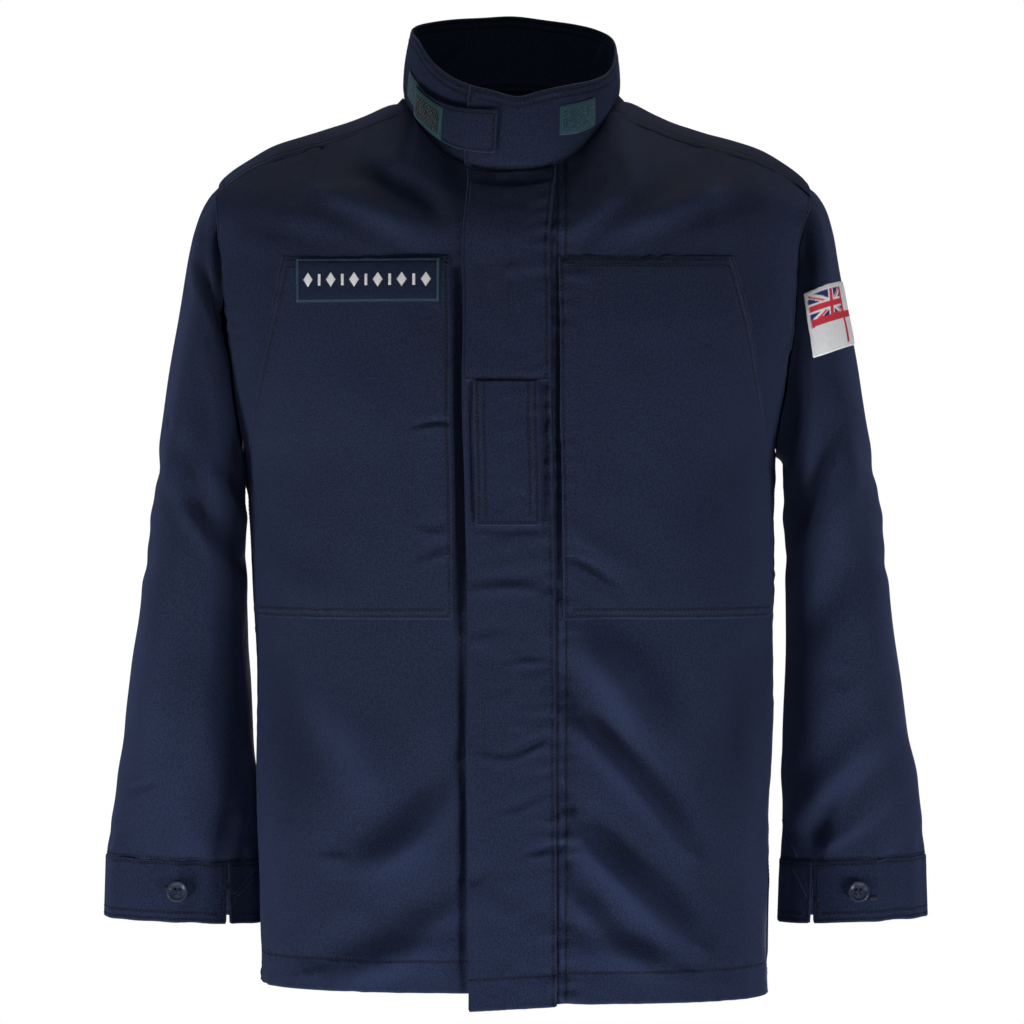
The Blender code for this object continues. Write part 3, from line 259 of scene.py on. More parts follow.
def smooth_along(values, knots, places):
    """Smooth curve through rows of values at uneven knots, read at the places."""
    gaps = np.diff(knots)
    shape = (-1,) + (1,) * (values.ndim - 1)
    slopes = np.diff(values, axis=0) / gaps.reshape(shape)
    before, after = gaps[:-1].reshape(shape), gaps[1:].reshape(shape)
    inner = (slopes[:-1] * after + slopes[1:] * before) / (before + after)
    tangents = np.concatenate((2.0 * slopes[:1] - inner[:1], inner, 2.0 * slopes[-1:] - inner[-1:]))
    i = np.clip(np.searchsorted(knots, places, side="right") - 1, 0, len(gaps) - 1)
    span = gaps[i].reshape(shape)
    t = ((places - knots[i]) / gaps[i]).reshape(shape)
    return (
        values[i] * (2.0 * t**3 - 3.0 * t**2 + 1.0)
        + tangents[i] * span * (t**3 - 2.0 * t**2 + t)
        + values[i + 1] * (3.0 * t**2 - 2.0 * t**3)
        + tangents[i + 1] * span * (t**3 - t**2)
    )


def fine_places(length, step, edged):
    """Places along a sheet: evenly spaced, closer together at its edges."""
    if not edged:
        return np.linspace(0.0, length, max(int(round(length / step)), 3) + 1)
    start = OUTER[-1]
    count = max(int(round((length - 2.0 * start) / step)), 2)
    inner = np.linspace(start, length - start, count + 1)
    return np.concatenate((OUTER[:-1], inner, length - OUTER[-2::-1]))


def fine_grid(grid, step, tube):
    """Smooth finer grid through a coarse one."""
    rows = chord_knots(grid, 0)
    tall = smooth_along(grid, rows, fine_places(rows[-1], step, True))
    across = chord_knots(grid, 1)
    columns = tall.transpose(1, 0, 2)
    if tube:
        gaps = np.diff(across)
        columns = np.concatenate((columns[-4:-1], columns, columns[1:4]))
        gaps = np.concatenate((gaps[-3:], gaps, gaps[:3]))
        knots = np.concatenate(([0.0], np.cumsum(gaps))) - gaps[:3].sum()
        places = fine_places(across[-1], step, False)[:-1]
        return smooth_along(columns, knots, places).transpose(1, 0, 2)
    return smooth_along(columns, across, fine_places(across[-1], step, True)).transpose(1, 0, 2)


def ease(t):
    """Smooth step, held between 0 and 1."""
    t = np.clip(t, 0.0, 1.0)
    return t * t * (3.0 - 2.0 * t)


class Cloth:
    """A sheet: its grid of points, its directions out, and distances along its cut."""

    def __init__(self, node):
        self.plan = PLAN[node]
        self.node = node
        self.tube = node in TUBES
        coarse = read_grid(self.plan)
        self.points = fine_grid(coarse, self.plan.step, self.tube)
        self.out = 1.0
        self.refresh()
        away = self.points - self.points.mean(axis=(0, 1))
        if not (self.tube or node.endswith("cuff")):
            away = self.points - np.array(BODY_MIDDLE)
        if (self.normals * away).sum() < 0.0:
            self.out = -1.0
            self.normals = -self.normals
        self.measure()
        self.made = self.points.copy()
        self.folds = np.zeros(self.points.shape[:2])

    def refresh(self):
        """Works out the directions out of the sheet."""
        p = self.points
        if self.tube:
            across = np.roll(p, -1, axis=1) - np.roll(p, 1, axis=1)
        else:
            across = np.gradient(p, axis=1)
        up = np.gradient(p, axis=0)
        n = np.cross(across, up) * self.out
        self.normals = n / np.maximum(np.linalg.norm(n, axis=2, keepdims=True), 1e-12)

    def measure(self):
        """Distances of each point from the start, end, bottom and top edges."""
        along = np.linalg.norm(np.diff(self.points, axis=1), axis=2)
        upward = np.linalg.norm(np.diff(self.points, axis=0), axis=2)
        self.u = np.concatenate((np.zeros((len(along), 1)), np.cumsum(along, axis=1)), axis=1)
        self.v = np.concatenate((np.zeros((1, upward.shape[1])), np.cumsum(upward, axis=0)))
        self.edges = {
            "start": self.u,
            "end": self.u[:, -1:] - self.u,
            "bottom": self.v,
            "top": self.v[-1:] - self.v,
        }

    def move(self, height):
        """Moves the points out by a height each."""
        self.points = self.points + self.normals * height[..., None]
        self.refresh()


def mesh_piece(name, points, faces, material):
    """Object of points and faces that all have as many corners."""
    data = bpy.data.meshes.new(name)
    data.vertices.add(len(points))
    data.vertices.foreach_set("co", points.ravel())
    data.loops.add(faces.size)
    data.loops.foreach_set("vertex_index", faces.ravel())
    data.polygons.add(len(faces))
    data.polygons.foreach_set("loop_start", np.arange(0, faces.size, faces.shape[1]))
    data.update(calc_edges=True)
    data.validate()
    data.shade_smooth()
    data.materials.append(material)
    piece = bpy.data.objects.new(name, data)
    bpy.context.scene.collection.objects.link(piece)
    return piece


def grid_quads(index):
    """Quads of a grid of point numbers."""
    quads = np.stack((index[:-1, :-1], index[:-1, 1:], index[1:, 1:], index[1:, :-1]), axis=-1)
    return quads.reshape(-1, 4)


def cloth_shell(cloth, material, thick=None):
    """Object of a sheet with a thin wall to its inside and a rounded rim."""
    p, n = cloth.points, cloth.normals
    rows, columns = p.shape[:2]
    thickness = np.full((rows, columns, 1), cloth.plan.wall) if thick is None else thick[..., None]
    inner = p - n * thickness
    count = rows * columns
    index = np.arange(count).reshape(rows, columns)
    wrap = np.concatenate((index, index[:, :1]), axis=1) if cloth.tube else index
    quads = grid_quads(wrap)
    if cloth.out < 0.0:
        quads = quads[:, ::-1]
    faces = [quads, quads[:, ::-1] + count]
    if cloth.tube:
        rims = [(index[0], p[0] - p[1]), (index[-1, ::-1], (p[-1] - p[-2])[::-1])]
    else:
        ring = np.concatenate((index[0, :-1], index[:-1, -1], index[-1, :0:-1], index[:0:-1, 0]))
        inward = np.concatenate(
            (
                (p[0] - p[1])[:-1],
                (p[:, -1] - p[:, -2])[:-1],
                (p[-1] - p[-2])[:0:-1],
                (p[:, 0] - p[:, 1])[:0:-1],
            )
        )
        rims = [(ring, inward)]
    points = [p.reshape(-1, 3), inner.reshape(-1, 3)]
    total = 2 * count
    for ring, outward in rims:
        outward = outward / np.linalg.norm(outward, axis=1, keepdims=True)
        half = thickness.reshape(-1, 1)[ring] / 2.0
        points.append((points[0][ring] + points[1][ring]) / 2.0 + outward * half)
        middle = total + np.arange(len(ring))
        ahead = np.roll(ring, -1)
        middle_ahead = np.roll(middle, -1)
        side = np.stack((ahead, ring, middle, middle_ahead), axis=-1)
        under = np.stack((middle_ahead, middle, ring + count, ahead + count), axis=-1)
        if cloth.out < 0.0:
            side, under = side[:, ::-1], under[:, ::-1]
        faces += [side, under]
        total += len(ring)
    points = np.concatenate(points)
    faces = np.concatenate(faces)
    piece = mesh_piece(cloth.node + "_cloth", points, faces, material)
    grain = np.zeros((len(points), 3))
    flat = np.stack((cloth.u, cloth.v, np.zeros_like(cloth.u)), axis=-1).reshape(-1, 3)
    grain[:count] = flat
    grain[count : 2 * count] = flat + np.array((0.0, 0.0, 1.0))   # the inside's own threads
    start = 2 * count
    for ring, _ in rims:
        grain[start : start + len(ring)] = grain[ring]
        start += len(ring)
    sewn = np.zeros((len(points), 3))
    sewn[: 2 * count] = np.tile(mark_seams(cloth).reshape(-1, 3), (2, 1))
    sewn[2 * count :] = sewn[np.concatenate([ring for ring, _ in rims])]
    attributes = piece.data.attributes
    for label, values in (("grain", grain), ("sewn", sewn)):
        attributes.new(label, "FLOAT_VECTOR", "POINT").data.foreach_set("vector", values.ravel())
    # The crease heights, from which the cloth's material paints shade in the troughs and highlights
    # on the ridges.
    folds = np.tile(cloth.folds.ravel(), 2)
    folds = np.concatenate((folds, folds[np.concatenate([ring for ring, _ in rims])]))
    attributes.new("folds", "FLOAT", "POINT").data.foreach_set("value", folds)
    return piece


# ================================================================ creases
# A crease in millimetres, as seen from the front or back (x, z) or from a side (y, z):
# its two ends and the middle it bends through, half its width, its height (a trough is
# negative), and which of its flanks is the steeper one.  A step has a ridge on its right
# and a trough on its left, as one walks along it.
Crease = namedtuple("Crease", "x1 z1 xm zm x2 z2 width height lean step", defaults=(0,))
CREASE_PARTS = 8             # straight lengths that a crease's curve is measured by
HOLLOW = 0.3                 # how deep a ridge's hollows are, as a share of its height
HOLLOW_PLACE = 1.9           # how far beside it they lie, in widths
STEP_PEAK = 2.33             # makes a step's ridge as high as the crease says


def creases(*rows):
    """Creases of a table's rows."""
    return tuple(Crease(*row) for row in rows)


FRONT_CREASES = creases(
    (-164, -70, -121, -87, -75, -113, 10, 5.1, 0.4),
    (-125, -55, -92, -70, -60, -92, 9, -4.3, 0.2),
    (-214, -99, -181, -109, -137, -117, 9, -2.3, 0),
    (42, -113, 63, -92, 92, -66, 9, 4.7, 0.4),
    (78, -109, 122, -92, 173, -66, 10, 4.3, 0.3),
    (53, -94, 70, -77, 84, -59, 8, -3.1, 0),
    (150, -94, 179, -86, 211, -82, 8, -2, 0),
    (-173, -479, -133, -516, -109, -560, 18, 4.9, 0),
    (-41, -665, -68, -677, -100, -688, 10, -4.9, 0.2),
    (42, -431, 78, -471, 110, -528, 16, 8, 0.3),
    (39, -661, 61, -673, 102, -685, 10, -5.5, 0),
    (207, -431, 187, -495, 183, -560, 22, -7.2, 0),
    (-204, -439, -185, -495, -181, -568, 22, -6.1, 0),
    (47, -498, 84, -533, 141, -602, 11, 6.6, 0, 1),
    (48, -583, 87, -622, 144, -677, 15, 8.4, 0, 1),
    (44, -626, 78, -672, 128, -700, 13, 5.6, 0, 1),
    (45, -440, 45, -540, 45, -650, 7, -2.4, 0),
    (-131, -611, -88, -594, -47, -540, 17, 6.4, 0, 1),
    (-150, -703, -92, -680, -39, -640, 17, 8.0, 0, 1),
    (-44, -438, -45, -527, -44, -616, 9, -2.2, 0),
    (-43, -632, -45, -672, -43, -709, 10, -3.6, 0),
    (42, -438, 70, -470, 102, -520, 14, 2, 0.3),
    (-133, -535, -115, -551, -99, -548, 18, 1.8, 0),
    (-173, -608, -149, -567, -133, -535, 22, 1.4, 0),
)
BACK_CREASES = creases(
    (-150, -150, 0, -178, 142, -146, 20, -4.2, 0.2),
    (-120, -205, 5, -232, 128, -210, 22, 3.4, 0),
    (-214, -250, -140, -296, -58, -312, 14, -5.3, 0.4),
    (-212, -300, -150, -335, -80, -345, 16, 3.8, 0),
    (208, -262, 138, -318, 52, -330, 15, -4.6, 0.4),
    (205, -310, 150, -352, 84, -360, 16, 4.2, 0),
    (-190, -505, -120, -556, -24, -572, 22, 4.9, 0.3),
    (-172, -560, -96, -604, 12, -612, 20, -6.1, 0.4),
    (182, -492, 96, -560, 14, -598, 22, -5.7, 0.4),
    (168, -560, 104, -616, 40, -640, 18, 4.6, 0),
    (-150, -640, -60, -688, 38, -700, 18, -4.2, 0),
    (-104, -380, -112, -540, -104, -710, 24, 3.4, 0),
    (112, -400, 96, -560, 118, -720, 24, 3.8, 0),
)
POCKET_CREASES = creases(
    (-79, -267, -65, -264, -49, -264, 3, 1.7, 0, 1),
    (-75, -347, -63, -349, -53, -344, 5, 1.4, 0, 1),
    (-78, -374, -62, -367, -50, -363, 5, 1.3, 0, 1),
    (45, -373, 61, -381, 81, -394, 3.5, 2, 0, 1),
    (42, -363, 52, -365, 61, -370, 3, 0.9, 0, 1),
    (-73, -265, -61, -263, -48, -265, 4, -1, 0.3),
    (-203, -373, -173, -393, -136, -405, 12, 1.2, 0),
    (-173, -187, -140, -228, -124, -284, 20, 1.4, 0),
    (-60, -163, -55, -195, -58, -228, 6, -0.8, 0),
    (41, -147, 53, -144, 66, -148, 4, 1, 0.2),
    (39, -367, 61, -382, 95, -405, 7, -1.6, 0.4),
    (39, -340, 61, -361, 102, -381, 8, 1.2, 0),
    (206, -276, 174, -300, 150, -340, 16, -1.2, 0),
)
PLACKET_CREASES = creases(
    (-37, -395, -3, -392, 29, -395, 6, 2, 0, 1),
    (-4, -456, 13, -453, 31, -455, 3.5, 1.5, 0, 1),
    (1, -530, 15, -524, 31, -513, 4, 1.7, 0, 1),
    (-27, -527, -14, -531, 1, -530, 4, 1.2, 0, 1),
    (10, -611, 21, -609, 31, -606, 3.5, 1.7, 0, 1),
    (-11, -576, 9, -571, 31, -558, 4, 1.1, 0, 1),
    (-36, -437, -19, -432, -2, -429, 5, 0.8, 0, 1),
    (28, -515, 13, -519, -5, -530, 3.5, -1.3, 0.3),
    (31, -604, 25, -605, 18, -609, 3, -1, 0),
    (31, -397, 21, -398, 10, -405, 3, -0.8, 0.2),
    (31, -457, 18, -460, 1, -463, 4, -1.2, 0.3),
    (30, -485, 21, -489, 6, -490, 3, -0.8, 0),
    (30, -542, 22, -546, 13, -549, 3, -0.8, 0),
    (-36, -437, -19, -442, -3, -449, 5, 0.8, 0),
    (-37, -646, -19, -650, 5, -667, 8, 1.2, 0),
    (31, -654, 17, -658, 1, -671, 5, -1, 0),
)
# Where a sheet falls away beside another's free edge.
FRONT_SLOTS = creases(
    (-44, -140, -43.5, -285, -42, -425, 5.5, -9, 0),
    (-41, -405, -40.5, -580, -40.5, -738, 3.6, -5.5, 0),
    (38.5, -134, 38, -270, 38.5, -385, 2.8, -3.6, 0),
)
PLACKET_SLOTS = creases(
    (-33, -224, -32.5, -285, -31.5, -347, 2.6, -3, 0),
    (24, -224, 24.2, -285, 24.6, -347, 2.6, -3, 0),
    (-32, -348, -4, -349, 25, -348, 2.4, -1.8, 0),
)
SLEEVE_CREASES = {
    "right_sleeve": creases(
        (-281, -268, -270, -316, -232, -375, 9, 3.2, 0, 1),
        (-253, -123, -243, -160, -238, -197, 6, -2.6, 0),
        (-224, -267, -227, -280, -232, -293, 6, -2, 0),
        (-291, -373, -299, -456, -309, -554, 20, 2, 0),
        (-260, -125, -247, -160, -231, -203, 5, -3.8, 0.4),
        (-247, -119, -238, -152, -228, -191, 6, 3.2, 0),
        (-245, -164, -235, -178, -227, -193, 4, -2.2, 0),
        (-269, -175, -273, -242, -275, -304, 14, 3.2, 0),
        (-254, -201, -258, -258, -261, -308, 12, -3.2, 0.3),
        (-270, -280, -258, -308, -245, -329, 7, -4.2, 0.5),
        (-276, -324, -254, -336, -228, -386, 9, -3.5, 0.4),
        (-261, -299, -240, -328, -220, -373, 9, 3.5, 0.2),
        (-240, -295, -229, -312, -219, -334, 5, -2.6, 0),
        (-323, -567, -307, -561, -289, -554, 3, -1.6, 0.2),
        (-225, -423, -232, -488, -235, -554, 14, -3.5, 0),
        (-299, -406, -301, -472, -307, -538, 18, 2.6, 0),
        (-228, -571, -235, -591, -240, -616, 8, -2.9, 0),
        (-266, -587, -270, -604, -273, -620, 10, 1.9, 0),
    ),
    "left_sleeve": creases(
        (231, -383, 251, -309, 264, -275, 9, 3.2, 0, 1),
        (255, -612, 261, -583, 278, -553, 9, 2.6, 0, 1),
        (232, -226, 231, -254, 228, -275, 7, -2.5, 0),
        (256, -469, 268, -471, 278, -472, 8, -1.5, 0),
        (292, -324, 301, -406, 309, -488, 18, 1.8, 0),
        (237, -74, 240, -110, 245, -152, 6, -3.5, 0.3),
        (247, -74, 250, -119, 256, -160, 8, 2.9, 0),
        (223, -160, 228, -258, 232, -341, 9, -3.8, 0),
        (260, -263, 250, -308, 237, -351, 10, -4.2, 0.4),
        (276, -299, 260, -357, 245, -406, 14, 3.5, 0),
        (288, -373, 260, -406, 227, -456, 12, -2.9, 0.3),
        (305, -507, 276, -542, 239, -581, 13, 4.5, 0.3),
        (301, -546, 272, -575, 240, -612, 11, -4.2, 0.3),
        (292, -587, 268, -604, 247, -618, 6, 2.6, 0),
        (321, -571, 301, -595, 276, -618, 9, -2.2, 0),
        (245, -612, 251, -617, 261, -618, 3, -1.6, 0),
    ),
}
SLEEVE_BACK_CREASES = {
    "right_sleeve": creases(
        (-240, -120, -236, -165, -226, -205, 8, -3.5, 0.3),
        (-296, -296, -268, -318, -236, -322, 8, -3.8, 0.4),
        (-292, -330, -262, -346, -230, -350, 9, 3.2, 0),
        (-300, -362, -272, -384, -238, -392, 9, -3.2, 0.3),
        (-316, -480, -282, -520, -244, -560, 14, 3.5, 0.2),
        (-310, -540, -286, -574, -250, -606, 10, -3.2, 0.3),
    ),
    "left_sleeve": creases(
        (238, -118, 238, -160, 230, -208, 8, -3.2, 0.3),
        (292, -284, 262, -306, 232, -318, 9, -3.5, 0.4),
        (290, -326, 264, -340, 236, -340, 8, 2.9, 0),
        (300, -352, 270, -376, 240, -378, 10, -3.5, 0.3),
        (308, -500, 280, -528, 248, -540, 13, -3.5, 0.2),
        (312, -560, 282, -590, 256, -612, 10, 2.9, 0),
    ),
}
SLEEVE_SIDE_CREASES = creases(
    (-48, -282, 2, -300, 52, -292, 10, -1.8, 0.3),
    (-40, -322, 8, -338, 50, -336, 9, 1.4, 0),
    (-36, -368, 10, -378, 56, -360, 9, -1.4, 0.2),
    (-30, -500, 4, -540, 40, -560, 12, 1.4, 0),
    (-34, -590, 0, -602, 40, -600, 7, -1.2, 0),
)
COLLAR_CREASES = creases(
    (-70, 12, -60, 2, -46, -8, 6, -0.8, 0),
    (20, 20, 40, 8, 60, 0, 7, 0.8, 0),
    (66, 18, 72, 26, 80, 30, 5, -0.7, 0),
)
COLLAR_BACK_CREASES = creases(
    (-66, 42, -56, 54, -44, 60, 3, -1.6, 0),
    (-52, 40, -46, 52, -38, 64, 4, 1.4, 0),
    (-20, 36, -16, 56, -20, 74, 7, -1.2, 0),
    (22, 34, 26, 54, 20, 76, 6, 1.3, 0),
    (52, 34, 60, 48, 62, 66, 4, -1.6, 0),
    (66, 40, 70, 50, 74, 58, 3, 1.0, 0),
)


def crease_heights(table, x, z):
    """Sum of a table's crease heights at places of a view."""
    height = np.zeros_like(x)
    for crease in table:
        c = Crease(*(value / 1000.0 for value in crease[:8]), *crease[8:])
        best = np.full_like(x, 1e9)
        along = np.zeros_like(x)
        side = np.zeros_like(x)
        start = np.array((c.x1, c.z1))
        pull = 2.0 * np.array((c.xm, c.zm)) - (start + np.array((c.x2, c.z2))) / 2.0
        end = np.array((c.x2, c.z2))
        ts = np.linspace(0.0, 1.0, CREASE_PARTS + 1)
        line = [start * (1 - t) ** 2 + pull * 2 * t * (1 - t) + end * t**2 for t in ts]
        for t, a, b in zip(ts, line, line[1:]):
            d = b - a
            s = np.clip(((x - a[0]) * d[0] + (z - a[1]) * d[1]) / (d @ d), 0.0, 1.0)
            ex, ez = x - a[0] - s * d[0], z - a[1] - s * d[1]
            far = np.hypot(ex, ez)
            nearer = far < best
            best = np.where(nearer, far, best)
            along = np.where(nearer, t + s * (ts[1] - ts[0]), along)
            side = np.where(nearer, np.sign(d[0] * ez - d[1] * ex), side)
        width = c.width * (1.0 + 0.45 * c.lean * side)
        taper = np.clip(np.sin(np.pi * (0.08 + 0.84 * along)), 0.0, 1.0)
        core = np.exp(-((best / width) ** 2))
        if c.step:
            height -= c.height * STEP_PEAK * side * best / width * core * taper
        else:
            beside = np.exp(-(((best - HOLLOW_PLACE * width) / width) ** 2))
            height += c.height * (core - HOLLOW * beside) * taper
    return height


def press_creases(cloth, front=(), back=(), side=()):
    """Raises and sinks a sheet along its creases, each by how far it faces their view."""
    p, n = cloth.points, cloth.normals
    height = crease_heights(front, p[..., 0], p[..., 2]) * ease((0.15 - n[..., 1]) / 0.6)
    height += crease_heights(back, p[..., 0], p[..., 2]) * ease((0.15 + n[..., 1]) / 0.6)
    height += crease_heights(side, p[..., 1], p[..., 2]) * ease(np.abs(n[..., 0]) * 1.6 - 0.6)
    height *= bpy.context.scene.jacket_sizes.fold_strength
    cloth.folds += height
    cloth.move(height)


def sink(cloth, table):
    """Presses creases that the sheets lying over this one don't follow."""
    before = cloth.points
    press_creases(cloth, table)
    cloth.made = cloth.made + cloth.points - before


def follow(cloth, bases, fade=1.0):
    """Moves a sheet as the sheets that it lies on or is sewn to have moved."""
    made = np.concatenate([CLOTHS[base].made.reshape(-1, 3) for base in bases])
    moved = [(CLOTHS[base].points - CLOTHS[base].made).reshape(-1, 3) for base in bases]
    moved = np.concatenate(moved)
    tree = KDTree(len(made))
    for n, place in enumerate(made.tolist()):
        tree.insert(place, n)
    tree.balance()
    shift = np.zeros((cloth.points.shape[0] * cloth.points.shape[1], 3))
    for n, place in enumerate(cloth.points.reshape(-1, 3).tolist()):
        near = tree.find_n(place, 6)
        weights = np.array([1.0 / (gap + 0.001) ** 2 for _, _, gap in near])
        shifts = moved[[index for _, index, _ in near]]
        shift[n] = (weights[:, None] * shifts).sum(axis=0) / weights.sum()
    cloth.points = cloth.points + shift.reshape(cloth.points.shape) * np.asarray(fade)[..., None]
    cloth.refresh()


def tuck(cloth, depth):
    """Carries a sheet's bottom edge on past the edge that it is sewn to."""
    way = cloth.points[0] - cloth.points[2]
    way /= np.linalg.norm(way, axis=1, keepdims=True)
    cloth.points = cloth.points + depth * way[None] * np.exp(-((cloth.v / 0.003) ** 2))[..., None]
    cloth.refresh()


def waves(seed, points, long, short, way=(1.0, 1.0, 1.0), count=9):
    """Uneven waves about 1 high, their lengths between two sizes, running mostly one way."""
    rng = np.random.default_rng(seed)
    total = np.zeros(points.shape[:-1])
    for _ in range(count):
        heading = rng.normal(size=3) * np.array(way)
        heading *= math.tau / (rng.uniform(short, long) * np.linalg.norm(heading))
        total += np.sin(points @ heading + rng.uniform(0.0, math.tau))
    return total / math.sqrt(count / 2.0)


def soften(cloth, seed, height):
    """Gives a sheet the faint unevenness of worn cloth."""
    broad = waves(seed, cloth.points, 0.26, 0.11)
    fine = waves(seed + 1, cloth.points, 0.075, 0.030, (1.0, 1.0, 0.6))
    cloth.move(height * (broad + 0.22 * fine))


def pucker(cloth, side, seed, height, reach, long=0.024, short=0.010):
    """Gathers a sheet a little along a sewn edge."""
    way = (0.25, 0.25, 1.0) if side in ("start", "end") else (1.0, 1.0, 0.25)
    strength = np.clip(0.6 + 0.5 * waves(seed + 1, cloth.points, 0.14, 0.05, way), 0.0, 1.4)
    ripple = waves(seed, cloth.points, long, short, way)
    cloth.move(height * strength * ripple * np.exp(-cloth.edges[side] / reach))


def gather_strip(cloth, x, low, seed, height, reach):
    """Draws a sheet into small level creases beside an upright seam."""
    away = np.abs(cloth.points[..., 0] - x)
    ripple = waves(seed, cloth.points, 0.021, 0.009, (0.12, 0.12, 1.0))
    strength = 0.7 + 0.6 * waves(seed + 1, cloth.points, 0.16, 0.07, (0.1, 0.1, 1.0))
    strength = np.clip(strength, 0.1, 1.6)
    strength *= ease((low - cloth.points[..., 2]) / 0.15) * 0.6 + 0.4
    cloth.move(height * strength * ripple * np.exp(-((away / reach) ** 2)))


def settle(cloth, sides, depth, reach, whole=0.0):
    """Lays a patch down onto what it is sewn to, most at its sewn edges."""
    away = np.minimum.reduce([cloth.edges[side] for side in sides])
    cloth.move(-whole - (depth - whole) * np.exp(-((away / reach) ** 2)))


# ================================================================ seams
ROWS = (0.0022, 0.0078)      # how far inside an edge its rows of stitches lie
ROW_STEP = 0.0015            # from point to point of a row inside an edge
DRAWN_STEP = 0.0012          # the same of a row drawn on a sheet
HEM_ROW = 0.0250
HEM_TURN = 0.0220            # where the hem's second layer begins to end
HEM_EASE = 0.006
HEM_LAYER = 0.0009           # the second layer's wall
PLACKET_HEM_LAYER = 0.0006
HEM_PULL = 0.0006            # how deep the hem's row of stitches pulls the cloth in
HEM_RIPPLE = 0.0005          # how much this varies along the row
ARMPIT_Z = -0.205
STRIP_X = 0.0385             # middle of the double-stitched strip beside the placket
STRIP_HALF = 0.0035
FAR = 0.2                    # a distance that no seam's marks reach

# A sewn edge: its sheet, which side, how many rows, and the height above which it is sewn.
Seam = namedtuple("Seam", "node side rows low", defaults=(-1.0,))
ALL_ROUND = tuple((side, 1) for side in SIDES)
CUFF_EDGES = (("top", 1), ("bottom", 2), ("start", 1), ("end", 1))
SEWN_EDGES = (
    ("back", (("top", 2), ("start", 2), ("end", 2))),
    ("right_sleeve", (("bottom", 1),)),
    ("left_sleeve", (("bottom", 1),)),
    ("right_pocket", (("start", 2), ("top", 2), ("bottom", 2), ("end", 1))),
    ("left_pocket", (("end", 2), ("top", 2), ("bottom", 2), ("start", 1))),
    ("placket", (("end", 1),)),
    ("placket_top", (("end", 1), ("bottom", 1))),
    ("rank_tab", (("start", 2), ("end", 2), ("bottom", 1))),
    ("name_patch", ALL_ROUND),
    ("collar", (("top", 2), ("bottom", 1), ("start", 1))),
    ("collar_tab", (("top", 1), ("bottom", 1), ("end", 1))),
    ("collar_loop_right", ALL_ROUND),
    ("collar_loop_left", ALL_ROUND),
    ("tab_hook_patch", ALL_ROUND),
    ("right_cuff", CUFF_EDGES),
    ("left_cuff", CUFF_EDGES),
    ("flag_patch", ALL_ROUND),
)
SEAMS = (
    Seam("right_front", "start", 1, ARMPIT_Z),
    Seam("left_front", "end", 1, ARMPIT_Z),
    *(Seam(node, side, rows) for node, edges in SEWN_EDGES for side, rows in edges),
)
HEMMED = (*BODY, "placket")

# Rows of stitches drawn in millimetres, as seen from the front: one down the strip beside
# the placket, the boxes and crosses that hold the pockets and the placket, and the tacks.
FRONT_ROW = ((43, -60), (42, -163), (41, -284), (41, -421), (39, -540), (42, -611), (43, -719))
SEWN_BOXES = {
    "placket_top": (
        ((-28, -137), (-6, -137), (-6, -173), (-28, -173), (-28, -137)),
        ((-28, -137), (-6, -173)),
        ((-6, -137), (-28, -173)),
    ),
    "placket": (((-27, -457), (-9, -457), (-9, -530), (-27, -530), (-27, -457)),),
    "right_pocket": (
        ((-77, -185), (-58, -185), (-58, -238), (-77, -238), (-77, -185)),
        ((-83, -267), (-58, -267), (-58, -347), (-83, -347), (-83, -267)),
    ),
    "left_pocket": (
        ((51, -153), (70, -153), (70, -228), (51, -228), (51, -153)),
        ((48, -266), (68, -266), (68, -340), (48, -340), (48, -266)),
        ((48, -266), (68, -340)),
    ),
}
TACKS = (
    ("right_pocket", ((-55, -369), (-47, -369))),
    ("right_pocket", ((-56, -134), (-48, -134))),
    ("left_pocket", ((41, -369), (49, -369))),
    ("left_pocket", ((42, -134), (50, -134))),
    ("placket", ((-28, -457), (-28, -461))),
    ("placket_top", ((-17, -172), (-14, -172))),
)

# A cuff, its buttonhole, the tack at the hole's end, and the bound edges of the vent.
CUFF_TOP = -622              # edges that start above it lie on the sleeve
CUFF_DETAILS = (
    (
        "right_cuff",
        ((-283, -646), (-291, -645)),
        ((-239, -643), (-239, -648)),
        (((-232, -650), (-208, -623)), ((-229, -652), (-206, -627))),
    ),
    (
        "left_cuff",
        ((294, -654), (302, -653)),
        ((251, -653), (251, -658)),
        (
            ((217, -580), (232, -620)),
            ((220, -579), (235, -620)),
            ((232, -631), (243, -654)),
        ),
    ),
)


def mark_seams(cloth):
    """Distance to the nearest sewn edge, whether it has two rows, and height over the hem."""
    nearest = np.full(cloth.points.shape[:2], FAR)
    double = np.zeros_like(nearest)
    for seam in SEAMS:
        if seam.node == cloth.node:
            below = np.maximum(seam.low - cloth.points[..., 2], 0.0)
            away = cloth.edges[seam.side] + 2.0 * below
            double = np.where(away < nearest, seam.rows - 1.0, double)
            nearest = np.minimum(nearest, away)
    if cloth.node == "left_front":
        strip = ROWS[0] + np.abs(cloth.points[..., 0] - STRIP_X) - STRIP_HALF
        nearest = np.minimum(nearest, np.maximum(strip, 0.0))
    hem = cloth.v if cloth.node in HEMMED else np.full_like(nearest, FAR)
    return np.stack((nearest, double, hem), axis=-1)


def sample(cloth, r, c):
    """Points and directions out at places between a sheet's rows and columns."""
    rows, columns = cloth.points.shape[:2]
    r0 = np.clip(np.floor(r).astype(int), 0, rows - 2)
    across = np.floor(c).astype(int)
    if not cloth.tube:
        across = np.clip(across, 0, columns - 2)
    up, over = (r - r0)[:, None], (c - across)[:, None]
    c0, c1 = across % columns, (across + 1) % columns
    found = []
    for grid in (cloth.points, cloth.normals):
        low = grid[r0, c0] * (1.0 - over) + grid[r0, c1] * over
        high = grid[r0 + 1, c0] * (1.0 - over) + grid[r0 + 1, c1] * over
        found.append(low * (1.0 - up) + high * up)
    return found


